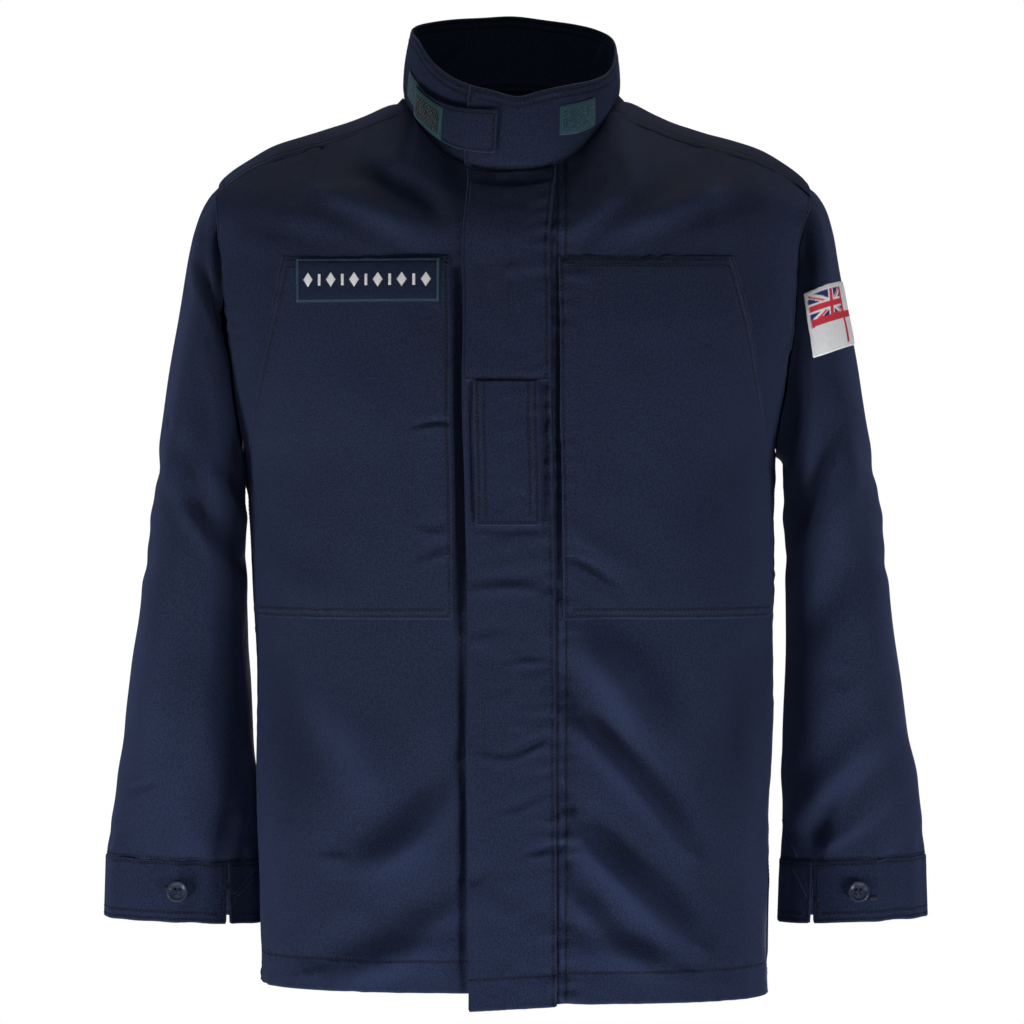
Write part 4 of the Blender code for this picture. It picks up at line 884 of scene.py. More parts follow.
def edge_row(cloth, side, inset, trim=0.0):
    """Points and directions out along a line inside an edge, cut short at both ends."""
    level = side in ("bottom", "top")
    across, along = (cloth.v, cloth.u) if level else (cloth.u.T, cloth.v.T)
    count, spots = across.shape
    want = np.full(spots, inset) if side in ("bottom", "start") else across[-1] - inset
    lines = np.array([np.interp(w, across[:, n], np.arange(count)) for n, w in enumerate(want)])
    way = along[int(round(lines.mean()))]
    if cloth.tube:
        places = np.linspace(0.0, spots, 3 * spots)
        lines = np.append(lines, lines[0])
    else:
        first, last = np.interp((trim, way[-1] - trim), way, np.arange(spots))
        places = np.linspace(first, last, max(int(way[-1] / ROW_STEP), 8))
    line = np.interp(places, np.arange(len(lines)), lines)
    return sample(cloth, line, places) if level else sample(cloth, places, line)


def drawn_row(cloth, places):
    """Points and directions out where a line drawn before a sheet, in millimetres, falls."""
    p = cloth.points
    index = np.arange(p.shape[0] * p.shape[1]).reshape(p.shape[:2])
    if cloth.tube:
        index = np.concatenate((index, index[:, :1]), axis=1)
    tree = BVHTree.FromPolygons(p.reshape(-1, 3).tolist(), grid_quads(index).tolist())
    away = Vector((0.0, -1.0, 0.0))
    found = []
    for (x1, z1), (x2, z2) in zip(places, places[1:]):
        count = max(int(math.hypot(x2 - x1, z2 - z1) / 1000.0 / DRAWN_STEP), 2)
        for t in np.linspace(0.0, 1.0, count + 1)[:-1]:
            spot = Vector(((x1 + (x2 - x1) * t) / 1000.0, 0.0, (z1 + (z2 - z1) * t) / 1000.0))
            hit, out, _, _ = tree.ray_cast(spot + away, -away)
            if hit:
                found.append((hit, out if out.dot(away) > 0.0 else -out))
    return np.array([h[:] for h, _ in found]), np.array([o[:] for _, o in found])


def stitch_shape():
    """One stitch: a small rounded length of thread, 1 long, wide and high."""
    bpy.ops.object.select_all(action="DESELECT")
    bpy.ops.mesh.primitive_uv_sphere_add(
        segments=5, ring_count=4, radius=0.5, rotation=(0.0, math.pi / 2.0, 0.0)
    )
    piece = bpy.context.object
    bpy.ops.object.transform_apply(location=True, rotation=True, scale=True)
    bpy.ops.object.mode_set(mode="EDIT")
    bpy.ops.mesh.select_all(action="SELECT")
    bpy.ops.mesh.quads_convert_to_tris()
    bpy.ops.object.mode_set(mode="OBJECT")
    data = piece.data
    points = np.array([v.co[:] for v in data.vertices])
    faces = []
    for polygon in data.polygons:
        corners = list(polygon.vertices)
        first = corners.index(min(corners))
        faces.append(corners[first:] + corners[:first])
    bpy.data.objects.remove(piece)
    bpy.data.meshes.remove(data)
    return points, np.array(sorted(faces))     # Blender's own order varies between runs


def copies(name, points, faces, material):
    """One piece of many copies of a small shape, each with its own points."""
    points = np.asarray(points)
    shifts = np.arange(len(points))[:, None, None] * points.shape[1]
    faces = (faces[None] + shifts).reshape(-1, 3)
    piece = mesh_piece(name, points.reshape(-1, 3), faces, material)
    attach(piece, "root")


# Kinds of stitch: length, width, height, from one to the next (None where the user's own
# pitch holds), and whether they lie across their row.
Stitch = namedtuple("Stitch", "long wide high pitch crosswise")
PLAIN = Stitch(0.0027, 0.00070, 0.00050, None, False)
TAPE = Stitch(0.0021, 0.0006, 0.00045, 0.0026, False)
FLAG_EDGE = Stitch(0.0022, 0.0006, 0.00045, 0.0026, False)
SATIN = Stitch(0.0026, 0.00055, 0.00045, 0.00058, True)
BUTTONHOLE = Stitch(0.0052, 0.0010, 0.0011, 0.0007, True)
BINDING = Stitch(0.0040, 0.0022, 0.0019, 0.0018, False)
BAR_TACK = Stitch(0.0018, 0.0006, 0.0006, 0.0005, True)


def sew(name, rows, material, kind):
    """One piece of all the stitches along some rows."""
    pitch = kind.pitch or bpy.context.scene.jacket_sizes.stitch_pitch
    shape, faces = stitch_shape()
    rng = np.random.default_rng(len(name))
    points = []
    for line, outs in rows:
        way = np.concatenate(([0.0], np.cumsum(np.linalg.norm(np.diff(line, axis=0), axis=1))))
        spots = np.arange(pitch / 2.0, way[-1], pitch)
        if not len(spots):
            continue
        place, ahead, out = (
            np.stack([np.interp(spots + shift, way, values[:, k]) for k in range(3)], axis=-1)
            for values, shift in ((line, 0.0), (line, 0.0006), (outs, 0.0))
        )
        ahead = ahead - place
        ahead[-1] = ahead[-2] if len(ahead) > 1 else ahead[-1]
        ahead = ahead / np.maximum(np.linalg.norm(ahead, axis=1, keepdims=True), 1e-9)
        out = out / np.linalg.norm(out, axis=1, keepdims=True)
        side = np.cross(out, ahead)
        if kind.crosswise:
            ahead, side = side, -ahead
        long = kind.long * rng.uniform(0.9, 1.08, (len(spots), 1, 1))
        points.append(
            place[:, None]
            + out[:, None] * (shape[None, :, 2:] + 0.12) * kind.high
            + ahead[:, None] * shape[None, :, :1] * long
            + side[:, None] * shape[None, :, 1:2] * kind.wide
        )
    copies(name, np.concatenate(points), faces, material)


def seam_rows(nodes):
    """Rows along the sewn edges of some sheets."""
    rows = []
    for seam in SEAMS:
        if seam.node in nodes:
            for inset in ROWS[: seam.rows]:
                line, outs = edge_row(CLOTHS[seam.node], seam.side, inset, inset)
                keep = line[:, 2] > seam.low
                rows.append((line[keep], outs[keep]))
    for node in HEMMED:
        if node in nodes:
            rows.append(edge_row(CLOTHS[node], "bottom", HEM_ROW, ROWS[0]))
    return rows


# ================================================================ materials
def new_material(name):
    """Material with its node tree and its shader."""
    material = bpy.data.materials.new(name)
    material.use_nodes = True
    tree = material.node_tree
    return material, tree, tree.nodes["Principled BSDF"]


def add_node(tree, kind, links=None, **settings):
    """Node with its settings; links gives its inputs a value or another node's output."""
    node = tree.nodes.new(kind)
    for name, value in settings.items():
        setattr(node, name, value)
    for key, value in (links or {}).items():
        if isinstance(value, bpy.types.NodeSocket):
            tree.links.new(value, node.inputs[key])
        else:
            node.inputs[key].default_value = value
    return node


def math_node(tree, operation, a, b=0.0, c=0.0):
    """Output of a Math node."""
    return add_node(tree, "ShaderNodeMath", {0: a, 1: b, 2: c}, operation=operation).outputs[0]


def mix_colors(tree, share, a, b, blend="MIX"):
    """Output of a colour Mix node."""
    node = add_node(
        tree, "ShaderNodeMix", {0: share}, data_type="RGBA", clamp_factor=True, blend_type=blend
    )
    for key, value in ((6, a), (7, b)):
        if isinstance(value, bpy.types.NodeSocket):
            tree.links.new(value, node.inputs[key])
        else:
            node.inputs[key].default_value = (*value, 1.0)
    return node.outputs[2]


def new_group(name, inputs, outputs):
    """Shader node group with named sockets; returns it with its two end nodes."""
    group = bpy.data.node_groups.new(name, "ShaderNodeTree")
    for label, kind in inputs:
        group.interface.new_socket(name=label, in_out="INPUT", socket_type=kind)
    for label, kind in outputs:
        group.interface.new_socket(name=label, in_out="OUTPUT", socket_type=kind)
    return group, group.nodes.new("NodeGroupInput"), group.nodes.new("NodeGroupOutput")


def noise_node(tree, place, scale, detail=2.0, roughness=0.6):
    """Output of a Noise Texture about 0."""
    inputs = {"Vector": place, "Scale": scale, "Detail": detail, "Roughness": roughness}
    node = add_node(tree, "ShaderNodeTexNoise", inputs)
    return math_node(tree, "SUBTRACT", node.outputs[0], 0.5)


def ridge_node(tree, place, middle, width):
    """Output that is 1 on a line at a distance and fades to 0 beside it."""
    off = math_node(tree, "DIVIDE", math_node(tree, "SUBTRACT", place, middle), width)
    squared = math_node(tree, "MULTIPLY", off, off)
    return math_node(tree, "EXPONENT", math_node(tree, "MULTIPLY", squared, -1.0))


def stretched_node(tree, place, scale):
    """Output of places scaled each way."""
    node = add_node(tree, "ShaderNodeVectorMath", {0: place, 1: scale}, operation="MULTIPLY")
    return node.outputs[0]


def attribute_node(tree, name, output="Vector"):
    """Output of a sheet's own attribute."""
    return add_node(tree, "ShaderNodeAttribute", attribute_name=name).outputs[output]


def bump_node(tree, height, distance, strength=1.0, **more):
    """Output of a Bump node."""
    inputs = {"Height": height, "Strength": strength, "Distance": distance, **more}
    return add_node(tree, "ShaderNodeBump", inputs).outputs[0]


def placed_group(tree, name, make):
    """Node of a node group that is made the first time it is asked for."""
    group = bpy.data.node_groups.get(name) or make()
    return add_node(tree, "ShaderNodeGroup", node_tree=group)


GROOVE = 0.0010              # half the width of the groove that a row of stitches pulls
GATHER = 0.008               # how far from a sewn edge its gathers fade
HEM_GATHER = 0.007
GATHER_RELIEF = 0.0006
WEAVE_RELIEF = 0.00006
EDGE_RUB_AND_HIGHLIGHT = 0.0012              # how far in from an edge the cloth is lightened, partly as rubbed wear and partly as painted highlight


def twill_group():
    """Twill weave: diagonal ribs crossed by threads, with slubs and a faint unevenness."""
    group, start, end = new_group(
        "twill_weave",
        (("Grain", "NodeSocketVector"), ("Pitch", "NodeSocketFloat"), ("Slub", "NodeSocketFloat")),
        (("Height", "NodeSocketFloat"), ("Tone", "NodeSocketFloat")),
    )
    grain = start.outputs["Grain"]
    split = add_node(group, "ShaderNodeSeparateXYZ", {0: grain})
    along = math_node(group, "DIVIDE", split.outputs[0], start.outputs["Pitch"])
    up = math_node(group, "DIVIDE", split.outputs[1], start.outputs["Pitch"])
    rib = math_node(group, "MULTIPLY_ADD", along, 2.0, math_node(group, "MULTIPLY", up, 3.6))
    rib = math_node(group, "SINE", math_node(group, "MULTIPLY", rib, math.pi))
    thread = math_node(group, "SINE", math_node(group, "MULTIPLY", along, 4.0 * math.pi))
    weave = math_node(group, "MULTIPLY_ADD", thread, 0.35, rib)
    rough = noise_node(group, grain, 760.0, 1.0)
    rough = math_node(group, "MULTIPLY", rough, start.outputs["Slub"])
    slub = noise_node(group, stretched_node(group, grain, (1.0, 0.4, 1.0)), 560.0, 1.0)
    cloud = noise_node(group, grain, 24.0, 4.0, 0.55)
    height = math_node(group, "MULTIPLY_ADD", rough, 1.6, weave)
    height = math_node(group, "MULTIPLY_ADD", slub, 1.2, height)
    group.links.new(height, end.inputs["Height"])
    tone = math_node(group, "MULTIPLY_ADD", weave, 0.05, math_node(group, "MULTIPLY", cloud, 0.30))
    tone = math_node(group, "MULTIPLY_ADD", slub, 1.2, tone)
    group.links.new(math_node(group, "ADD", tone, rough), end.inputs["Tone"])
    return group


def seam_group():
    """Sewn edges: the grooves that stitches pull, small gathers beside them, and a lightening at
    the edges that is partly rubbed wear and partly painted highlight.
    """
    group, start, end = new_group(
        "sewn_edge",
        (("Sewn", "NodeSocketVector"), ("Grain", "NodeSocketVector")),
        (("Groove", "NodeSocketFloat"), ("Height", "NodeSocketFloat"), ("Rub", "NodeSocketFloat")),
    )
    split = add_node(group, "ShaderNodeSeparateXYZ", {0: start.outputs["Sewn"]})
    edge, double, hem = split.outputs
    first = ridge_node(group, edge, ROWS[0], GROOVE)
    second = math_node(group, "MULTIPLY", ridge_node(group, edge, ROWS[1], GROOVE), double)
    third = ridge_node(group, hem, HEM_ROW, GROOVE)
    groove = math_node(group, "ADD", math_node(group, "ADD", first, second), third)
    group.links.new(groove, end.inputs["Groove"])
    gathers = noise_node(group, start.outputs["Grain"], 210.0, 2.0, 0.5)
    near = math_node(group, "EXPONENT", math_node(group, "DIVIDE", edge, -GATHER))
    band = math_node(group, "ADD", ridge_node(group, hem, HEM_ROW, HEM_GATHER), near)
    height = math_node(group, "MULTIPLY", math_node(group, "MULTIPLY", gathers, 2.2), band)
    height = math_node(group, "SUBTRACT", height, math_node(group, "MULTIPLY", groove, 0.6))
    group.links.new(height, end.inputs["Height"])
    # Lighter along the edges: partly rubbed wear, partly painted highlight.
    rub_and_highlight = ridge_node(group, math_node(group, "MINIMUM", edge, hem), 0.0, EDGE_RUB_AND_HIGHLIGHT)
    group.links.new(rub_and_highlight, end.inputs["Rub"])
    return group


def cloth_material(name, color, lighter, pitch=0.0011, sheen=0.12, shift=(1.0, 1.0, 1.0)):
    """Woven cloth on a sheet's own grain, bluer and lighter towards the hem by its shift, with
    painted shade in its crease troughs and stitch grooves, and painted highlights on its ridges
    and, with rubbed wear, along its edges.
    """
    material, tree, shader = new_material(name)
    grain = attribute_node(tree, "grain")
    sewn = attribute_node(tree, "sewn")
    threads = placed_group(tree, "twill_weave", twill_group)
    tree.links.new(grain, threads.inputs["Grain"])
    threads.inputs["Pitch"].default_value = pitch
    threads.inputs["Slub"].default_value = 3.0
    seams = placed_group(tree, "sewn_edge", seam_group)
    tree.links.new(grain, seams.inputs["Grain"])
    tree.links.new(sewn, seams.inputs["Sewn"])
    # Painted shade and highlight: the crease heights darken the cloth's colour in the troughs and
    # lighten it on the ridges.
    painted_fold_shade = math_node(tree, "MULTIPLY_ADD", attribute_node(tree, "folds", "Fac"), 60.0, 0.5)
    tone = math_node(tree, "ADD", threads.outputs["Tone"], painted_fold_shade)
    # The edges are lightened: partly rubbed wear, partly painted highlight.
    share = math_node(tree, "MULTIPLY_ADD", seams.outputs["Rub"], 0.25, tone)
    body = mix_colors(tree, share, color, lighter)
    place = add_node(tree, "ShaderNodeTexCoord").outputs["Object"]
    height = add_node(tree, "ShaderNodeSeparateXYZ", {0: place}).outputs[2]
    low = math_node(tree, "MULTIPLY", math_node(tree, "ADD", height, 0.15), -1.6)
    body = mix_colors(tree, low, body, mix_colors(tree, 1.0, body, shift, "MULTIPLY"))
    # Painted shade in the stitch grooves: the cloth's colour is darkened where the rows of stitches
    # pull it in.
    groove = math_node(tree, "MULTIPLY", seams.outputs["Groove"], 0.80)
    body = mix_colors(tree, groove, body, tuple(0.35 * v for v in color))
    tree.links.new(body, shader.inputs["Base Color"])
    rough = math_node(tree, "MULTIPLY_ADD", threads.outputs["Tone"], 0.10, 0.82)
    tree.links.new(rough, shader.inputs["Roughness"])
    gathers = bump_node(tree, seams.outputs["Height"], GATHER_RELIEF)
    lift = bump_node(tree, threads.outputs["Height"], WEAVE_RELIEF, Normal=gathers)
    tree.links.new(lift, shader.inputs["Normal"])
    shader.inputs["Specular IOR Level"].default_value = 0.16
    shader.inputs["Sheen Weight"].default_value = sheen
    shader.inputs["Sheen Roughness"].default_value = 0.4
    shader.inputs["Sheen Tint"].default_value = (0.35, 0.45, 1.0, 1.0)
    return material


TAPE_BORDER = 0.0032         # width of a tape's flat border
TUFT = 0.0032                # from one tuft of its pile to the next but one


def pile_material(name, color, tip, bump, scale, border):
    """Loop or hook tape: a field of small loops inside a flat woven border."""
    material, tree, shader = new_material(name)
    grain = attribute_node(tree, "grain")
    sewn = attribute_node(tree, "sewn")
    edge = add_node(tree, "ShaderNodeSeparateXYZ", {0: sewn}).outputs[0]
    inputs = {"Vector": grain, "Scale": scale, "Randomness": 0.8}
    cells = add_node(tree, "ShaderNodeTexVoronoi", inputs).outputs["Distance"]
    loops = math_node(tree, "SUBTRACT", 1.0, math_node(tree, "MULTIPLY", cells, 1.5))
    patchy = noise_node(tree, grain, scale * 0.35, 3.0)
    inside = math_node(tree, "GREATER_THAN", edge, TAPE_BORDER)
    split = add_node(tree, "ShaderNodeSeparateXYZ", {0: grain})
    tufts = [math_node(tree, "MULTIPLY", split.outputs[k], math.tau / TUFT) for k in (0, 1)]
    tufts = [math_node(tree, "SINE", turn) for turn in tufts]
    tufts = math_node(tree, "MULTIPLY", math_node(tree, "MULTIPLY", *tufts), 0.5)
    share = math_node(tree, "MULTIPLY_ADD", loops, 0.9, tufts)
    share = math_node(tree, "MULTIPLY_ADD", patchy, 2.4, share)
    share = math_node(tree, "MULTIPLY", share, inside)
    pile = mix_colors(tree, share, color, tip)
    tree.links.new(mix_colors(tree, inside, border, pile), shader.inputs["Base Color"])
    tree.links.new(bump_node(tree, share, bump), shader.inputs["Normal"])
    tree.links.new(math_node(tree, "MULTIPLY_ADD", patchy, 0.2, 0.8), shader.inputs["Roughness"])
    shader.inputs["Specular IOR Level"].default_value = 0.2
    shader.inputs["Sheen Weight"].default_value = 0.2
    return material


def thread_material(name, color, lighter):
    """Twisted sewing thread."""
    material, tree, shader = new_material(name)
    place = add_node(tree, "ShaderNodeTexCoord").outputs["Object"]
    twist = noise_node(tree, place, 1400.0, 1.0)
    share = math_node(tree, "MULTIPLY_ADD", twist, 1.6, 0.5)
    tree.links.new(mix_colors(tree, share, color, lighter), shader.inputs["Base Color"])
    tree.links.new(bump_node(tree, twist, 0.0002, 0.6), shader.inputs["Normal"])
    shader.inputs["Roughness"].default_value = 0.6
    shader.inputs["Specular IOR Level"].default_value = 0.3
    return material


BUTTON_DARK = (0.012, 0.018, 0.036)
BUTTON_LIGHT = (0.034, 0.046, 0.080)


def button_material(name):
    """Moulded plastic button: glossy, with faint clouding and fine scratches."""
    material, tree, shader = new_material(name)
    place = add_node(tree, "ShaderNodeTexCoord").outputs["Object"]
    cloud = noise_node(tree, place, 160.0, 3.0)
    fine = noise_node(tree, stretched_node(tree, place, (1.0, 1.0, 0.12)), 2600.0, 1.0)
    share = math_node(tree, "MULTIPLY_ADD", cloud, 1.5, 0.5)
    color = mix_colors(tree, share, BUTTON_DARK, BUTTON_LIGHT)
    tree.links.new(color, shader.inputs["Base Color"])
    rough = math_node(tree, "MULTIPLY_ADD", fine, 0.2, 0.20)
    tree.links.new(rough, shader.inputs["Roughness"])
    tree.links.new(bump_node(tree, fine, 0.00005, 0.3), shader.inputs["Normal"])
    return material


def dyed_material(name):
    """Printed cloth: its dyes from the sheet's own colours, over a plain weave."""
    material, tree, shader = new_material(name)
    grain = attribute_node(tree, "grain")
    dye = attribute_node(tree, "dye", "Color")
    threads = placed_group(tree, "twill_weave", twill_group)
    tree.links.new(grain, threads.inputs["Grain"])
    threads.inputs["Pitch"].default_value = 0.0009
    threads.inputs["Slub"].default_value = 0.3
    share = math_node(tree, "MULTIPLY_ADD", threads.outputs["Tone"], 0.6, 0.15)
    faded = mix_colors(tree, 1.0, dye, (0.72, 0.72, 0.75), "MULTIPLY")
    tree.links.new(mix_colors(tree, share, dye, faded), shader.inputs["Base Color"])
    tree.links.new(bump_node(tree, threads.outputs["Height"], 0.00005), shader.inputs["Normal"])
    rough = math_node(tree, "MULTIPLY_ADD", threads.outputs["Tone"], 0.1, 0.75)
    tree.links.new(rough, shader.inputs["Roughness"])
    shader.inputs["Specular IOR Level"].default_value = 0.2
    return material


def cached(name, make, *values, **more):
    """A material by its name, made the first time it is asked for."""
    name += "_look"          # the frame's own materials have the names without it
    return bpy.data.materials.get(name) or make(name, *values, **more)


def body_cloth():
    """The jacket's own cloth."""
    colours = bpy.context.scene.jacket_colours
    shift = (0.98, 1.08, 1.22)
    return cached("navy_twill", cloth_material, colours.cloth, colours.cloth_light, shift=shift)


def body_thread():
    """The thread that the jacket is sewn with."""
    thread = bpy.context.scene.jacket_colours.thread
    return cached("navy_thread", thread_material, thread, (0.0100, 0.0145, 0.0340))


def white_thread():
    """The thread of the flag's border and of the name patch's motif."""
    return cached("white_thread", thread_material, (0.55, 0.55, 0.57), (0.80, 0.80, 0.80))


# ================================================================ properties
class JacketColours(bpy.types.PropertyGroup):
    """Colours that a user may change."""

    cloth: FloatVectorProperty(
        name="Cloth",
        description="Darker threads of the cloth",
        subtype="COLOR",
        default=(0.0042, 0.0073, 0.0200),
    )
    cloth_light: FloatVectorProperty(
        name="Cloth, lighter threads",
        description="Lighter threads of the cloth",
        subtype="COLOR",
        default=(0.0142, 0.0222, 0.0550),
    )
    thread: FloatVectorProperty(
        name="Thread",
        description="Sewing thread",
        subtype="COLOR",
        default=(0.0030, 0.0045, 0.0115),
    )
    loop: FloatVectorProperty(
        name="Loop tape",
        description="Loop tape on the collar",
        subtype="COLOR",
        default=(0.006, 0.027, 0.042),
    )
    hook: FloatVectorProperty(
        name="Hook tape",
        description="Hook tape on the collar tab",
        subtype="COLOR",
        default=(0.0010, 0.0065, 0.0085),
    )
    border: FloatVectorProperty(
        name="Patch border",
        description="Thread round the name patch",
        subtype="COLOR",
        default=(0.012, 0.032, 0.060),
    )
    floor: FloatVectorProperty(
        name="Floor", description="Floor", subtype="COLOR", default=(0.86, 0.86, 0.86)
    )


class JacketSizes(bpy.types.PropertyGroup):
    """Sizes that a user may change."""

    fold_strength: FloatProperty(
        name="Fold strength",
        description="How deep the creases are",
        default=1.0,
        min=0.0,
        max=2.0,
    )
    stitch_pitch: FloatProperty(
        name="Stitch pitch",
        description="From one stitch to the next",
        default=0.0034,
        min=0.002,
        unit="LENGTH",
    )
    button_diameter: FloatProperty(
        name="Button diameter",
        description="Width of a cuff button",
        default=0.0172,
        min=0.01,
        unit="LENGTH",
    )


# ================================================================ operators
def slot_of(node):
    """A node's material slot in the record."""
    return next(s["material_slot"] for s in frame["record"]["subparts"] if s["node"] == node)


def finish_sheet(node, material, thick=None):
    """Makes a node's shell and gives it its place in the frame."""
    cloth = CLOTHS[node]
    piece = cloth_shell(cloth, material, thick)
    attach(piece, "root")
    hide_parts(node)
    slot_of(node)
    return piece


def lay_out(nodes):
    """Reads the faces of some nodes."""
    for node in nodes:
        CLOTHS[node] = Cloth(node)
    return [CLOTHS[node] for node in nodes]


def sew_all(name, nodes, extra=()):
    """Stitches along every sewn edge of some sheets, and along extra rows."""
    sew(name, seam_rows(nodes) + list(extra), body_thread(), PLAIN)


def hem_share(cloth):
    """Where a sheet has its hem's second layer: 1 on the hem, 0 above it."""
    return 1.0 - ease((cloth.v - HEM_TURN) / HEM_EASE)


def seen_glow(tree, glow):
    """Strength of a glow, with what more of it the camera sees."""
    seen = add_node(tree, "ShaderNodeLightPath").outputs["Is Camera Ray"]
    return math_node(tree, "MULTIPLY_ADD", seen, glow[1], glow[0])


class JACKET_OT_stage(bpy.types.Operator):
    """Makes the floor, the lights and the camera"""

    bl_idname = "jacket.stage"
    bl_label = "Stage"

    def execute(self, context):
        bpy.ops.object.select_all(action="DESELECT")
        bpy.ops.mesh.primitive_circle_add(
            vertices=96, radius=FLOOR_RADIUS, fill_type="NGON", location=(0.0, 0.0, FLOOR_Z)
        )
        floor = context.object
        floor.name = "floor"
        bpy.ops.object.transform_apply(location=True, rotation=True, scale=True)
        material, tree, shader = new_material("pale_floor")
        shader.inputs["Base Color"].default_value = (*context.scene.jacket_colours.floor, 1.0)
        shader.inputs["Roughness"].default_value = 0.9
        shader.inputs["Emission Color"].default_value = (1.0, 1.0, 1.0, 1.0)
        tree.links.new(seen_glow(tree, FLOOR_GLOW), shader.inputs["Emission Strength"])
        floor.data.materials.append(material)
        world = bpy.data.worlds.new("studio")
        world.use_nodes = True
        context.scene.world = world
        context.scene.view_settings.view_transform = "Standard"
        tree = world.node_tree
        sky = tree.nodes["Background"]
        sky.inputs["Color"].default_value = (1.0, 1.0, 1.0, 1.0)
        tree.links.new(seen_glow(tree, ROOM_GLOW), sky.inputs["Strength"])
        for name, place, aim, size, power in LIGHTS:
            bpy.ops.object.light_add(type="AREA", location=place)
            light = context.object
            light.name = name + "_light"
            light.data.size = size
            light.data.energy = power
            ahead = Vector(aim) - Vector(place)
            light.rotation_euler = ahead.to_track_quat("-Z", "Y").to_euler()
        bpy.ops.object.camera_add(location=CAMERA_PLACE, rotation=(math.pi / 2.0, 0.0, 0.0))
        camera = context.object
        camera.data.lens = CAMERA_LENS
        camera.data.sensor_width = SENSOR_WIDTH
        context.scene.camera = camera
        return {"FINISHED"}


class JACKET_OT_body(bpy.types.Operator):
    """Makes the fronts and the back"""

    bl_idname = "jacket.body"
    bl_label = "Fronts and back"

    def execute(self, context):
        for seed, cloth in enumerate(lay_out(BODY)):
            press_creases(cloth, FRONT_CREASES, BACK_CREASES)
            sink(cloth, FRONT_SLOTS if cloth.node != "back" else ())
            soften(cloth, 10 + seed, 0.0009)
            for n, side in enumerate(SIDES):
                pucker(cloth, side, 40 + 10 * seed + n, 0.0005, 0.012)
            if cloth.node == "left_front":
                gather_strip(cloth, STRIP_X, -0.35, 72, 0.0013, 0.010)
            away = cloth.v - HEM_ROW
            ripple = waves(70 + seed, cloth.points, 0.030, 0.012, (1.0, 1.0, 0.2))
            cloth.move((HEM_RIPPLE * ripple - HEM_PULL) * np.exp(-((away / HEM_EASE) ** 2)))
            wall = cloth.plan.wall + HEM_LAYER * hem_share(cloth)
            finish_sheet(cloth.node, body_cloth(), wall)
        sew_all("body_stitches", BODY, [drawn_row(CLOTHS["left_front"], FRONT_ROW)])
        return {"FINISHED"}


class JACKET_OT_sleeves(bpy.types.Operator):
    """Makes the sleeves"""

    bl_idname = "jacket.sleeves"
    bl_label = "Sleeves"

    def execute(self, context):
        for seed, cloth in enumerate(lay_out(TUBES)):
            node = cloth.node
            follow(cloth, BODY, np.exp(-cloth.edges["top"] / 0.04))
            settle(cloth, ("top",), 0.0016, 0.007)
            press_creases(
                cloth, SLEEVE_CREASES[node], SLEEVE_BACK_CREASES[node], SLEEVE_SIDE_CREASES
            )
            soften(cloth, 20 + seed, 0.0008 * ease(cloth.edges["top"] / 0.05))
            pucker(cloth, "bottom", 80 + seed, 0.0009, 0.016, 0.034, 0.014)
            finish_sheet(node, body_cloth())
        sew_all("sleeve_stitches", TUBES)
        return {"FINISHED"}


class JACKET_OT_cuffs(bpy.types.Operator):
    """Makes the cuffs and their buttons"""

    bl_idname = "jacket.cuffs"
    bl_label = "Cuffs and buttons"

    def execute(self, context):
        for seed, cloth in enumerate(lay_out(CUFFS)):
            follow(cloth, (cloth.node.replace("cuff", "sleeve"),))
            pucker(cloth, "top", 90 + seed, 0.0004, 0.008)
            finish_sheet(cloth.node, body_cloth())
        sew_all("cuff_stitches", CUFFS)
        holes, slits = [], []
        for node, hole, tack, vents in CUFF_DETAILS:
            cuff, sleeve = CLOTHS[node], CLOTHS[node.replace("cuff", "sleeve")]
            holes += [drawn_row(cuff, hole), drawn_row(cuff, tack)]
            slits += [drawn_row(cuff if vent[0][1] < CUFF_TOP else sleeve, vent) for vent in vents]
            make_button(node + "_button")
        slits = [row for row in slits if len(row[0]) > 3]
        sew("buttonholes", holes, body_thread(), BUTTONHOLE)
        sew("vent_bindings", slits, body_cloth(), BINDING)
        return {"FINISHED"}


LOOP_LOOK = {
    "tip": (0.022, 0.080, 0.108),
    "bump": 0.0005,
    "scale": 560.0,
    "border": (0.010, 0.038, 0.056),
}
HOOK_LOOK = {
    "tip": (0.004, 0.036, 0.042),
    "bump": 0.0009,
    "scale": 380.0,
    "border": (0.006, 0.040, 0.052),
}


class JACKET_OT_collar(bpy.types.Operator):
    """Makes the collar, its tab and its tapes"""

    bl_idname = "jacket.collar"
    bl_label = "Collar"

    def execute(self, context):
        colours = context.scene.jacket_colours
        collar, tab = lay_out(("collar", "collar_tab"))
        follow(collar, BODY, np.exp(-collar.v / 0.03))
        settle(collar, ("bottom",), 0.0010, 0.005)
        tuck(collar, 0.0028)
        press_creases(collar, COLLAR_CREASES, COLLAR_BACK_CREASES)
        soften(collar, 30, 0.0004)
        finish_sheet("collar", body_cloth())
        follow(tab, ("collar",))
        pucker(tab, "bottom", 96, 0.0003, 0.006)
        finish_sheet("collar_tab", body_cloth())
        sew_all("collar_stitches", ("collar", "collar_tab"))
        lay_out(("collar_loop_right", "collar_loop_left", "tab_hook_patch"))
        loop = cached("loop_tape", pile_material, colours.loop, **LOOP_LOOK)
        hook = cached("hook_tape", pile_material, colours.hook, **HOOK_LOOK)
        rows = []
        for node, base, tape in (
            ("collar_loop_right", "collar", loop),
            ("collar_loop_left", "collar", loop),
            ("tab_hook_patch", "collar_tab", hook),
        ):
            follow(CLOTHS[node], (base,))
            settle(CLOTHS[node], SIDES, 0.0010, 0.003, 0.0006)
            finish_sheet(node, tape)
            rows += [edge_row(CLOTHS[node], side, ROWS[0], ROWS[0]) for side in SIDES]
        teal = cached("teal_thread", thread_material, (0.012, 0.070, 0.090), (0.035, 0.140, 0.165))
        sew("tape_stitches", rows, teal, TAPE)
        return {"FINISHED"}


RANK_TAB_LIFT = 0.0009       # the rank tab lies on the placket's top layer


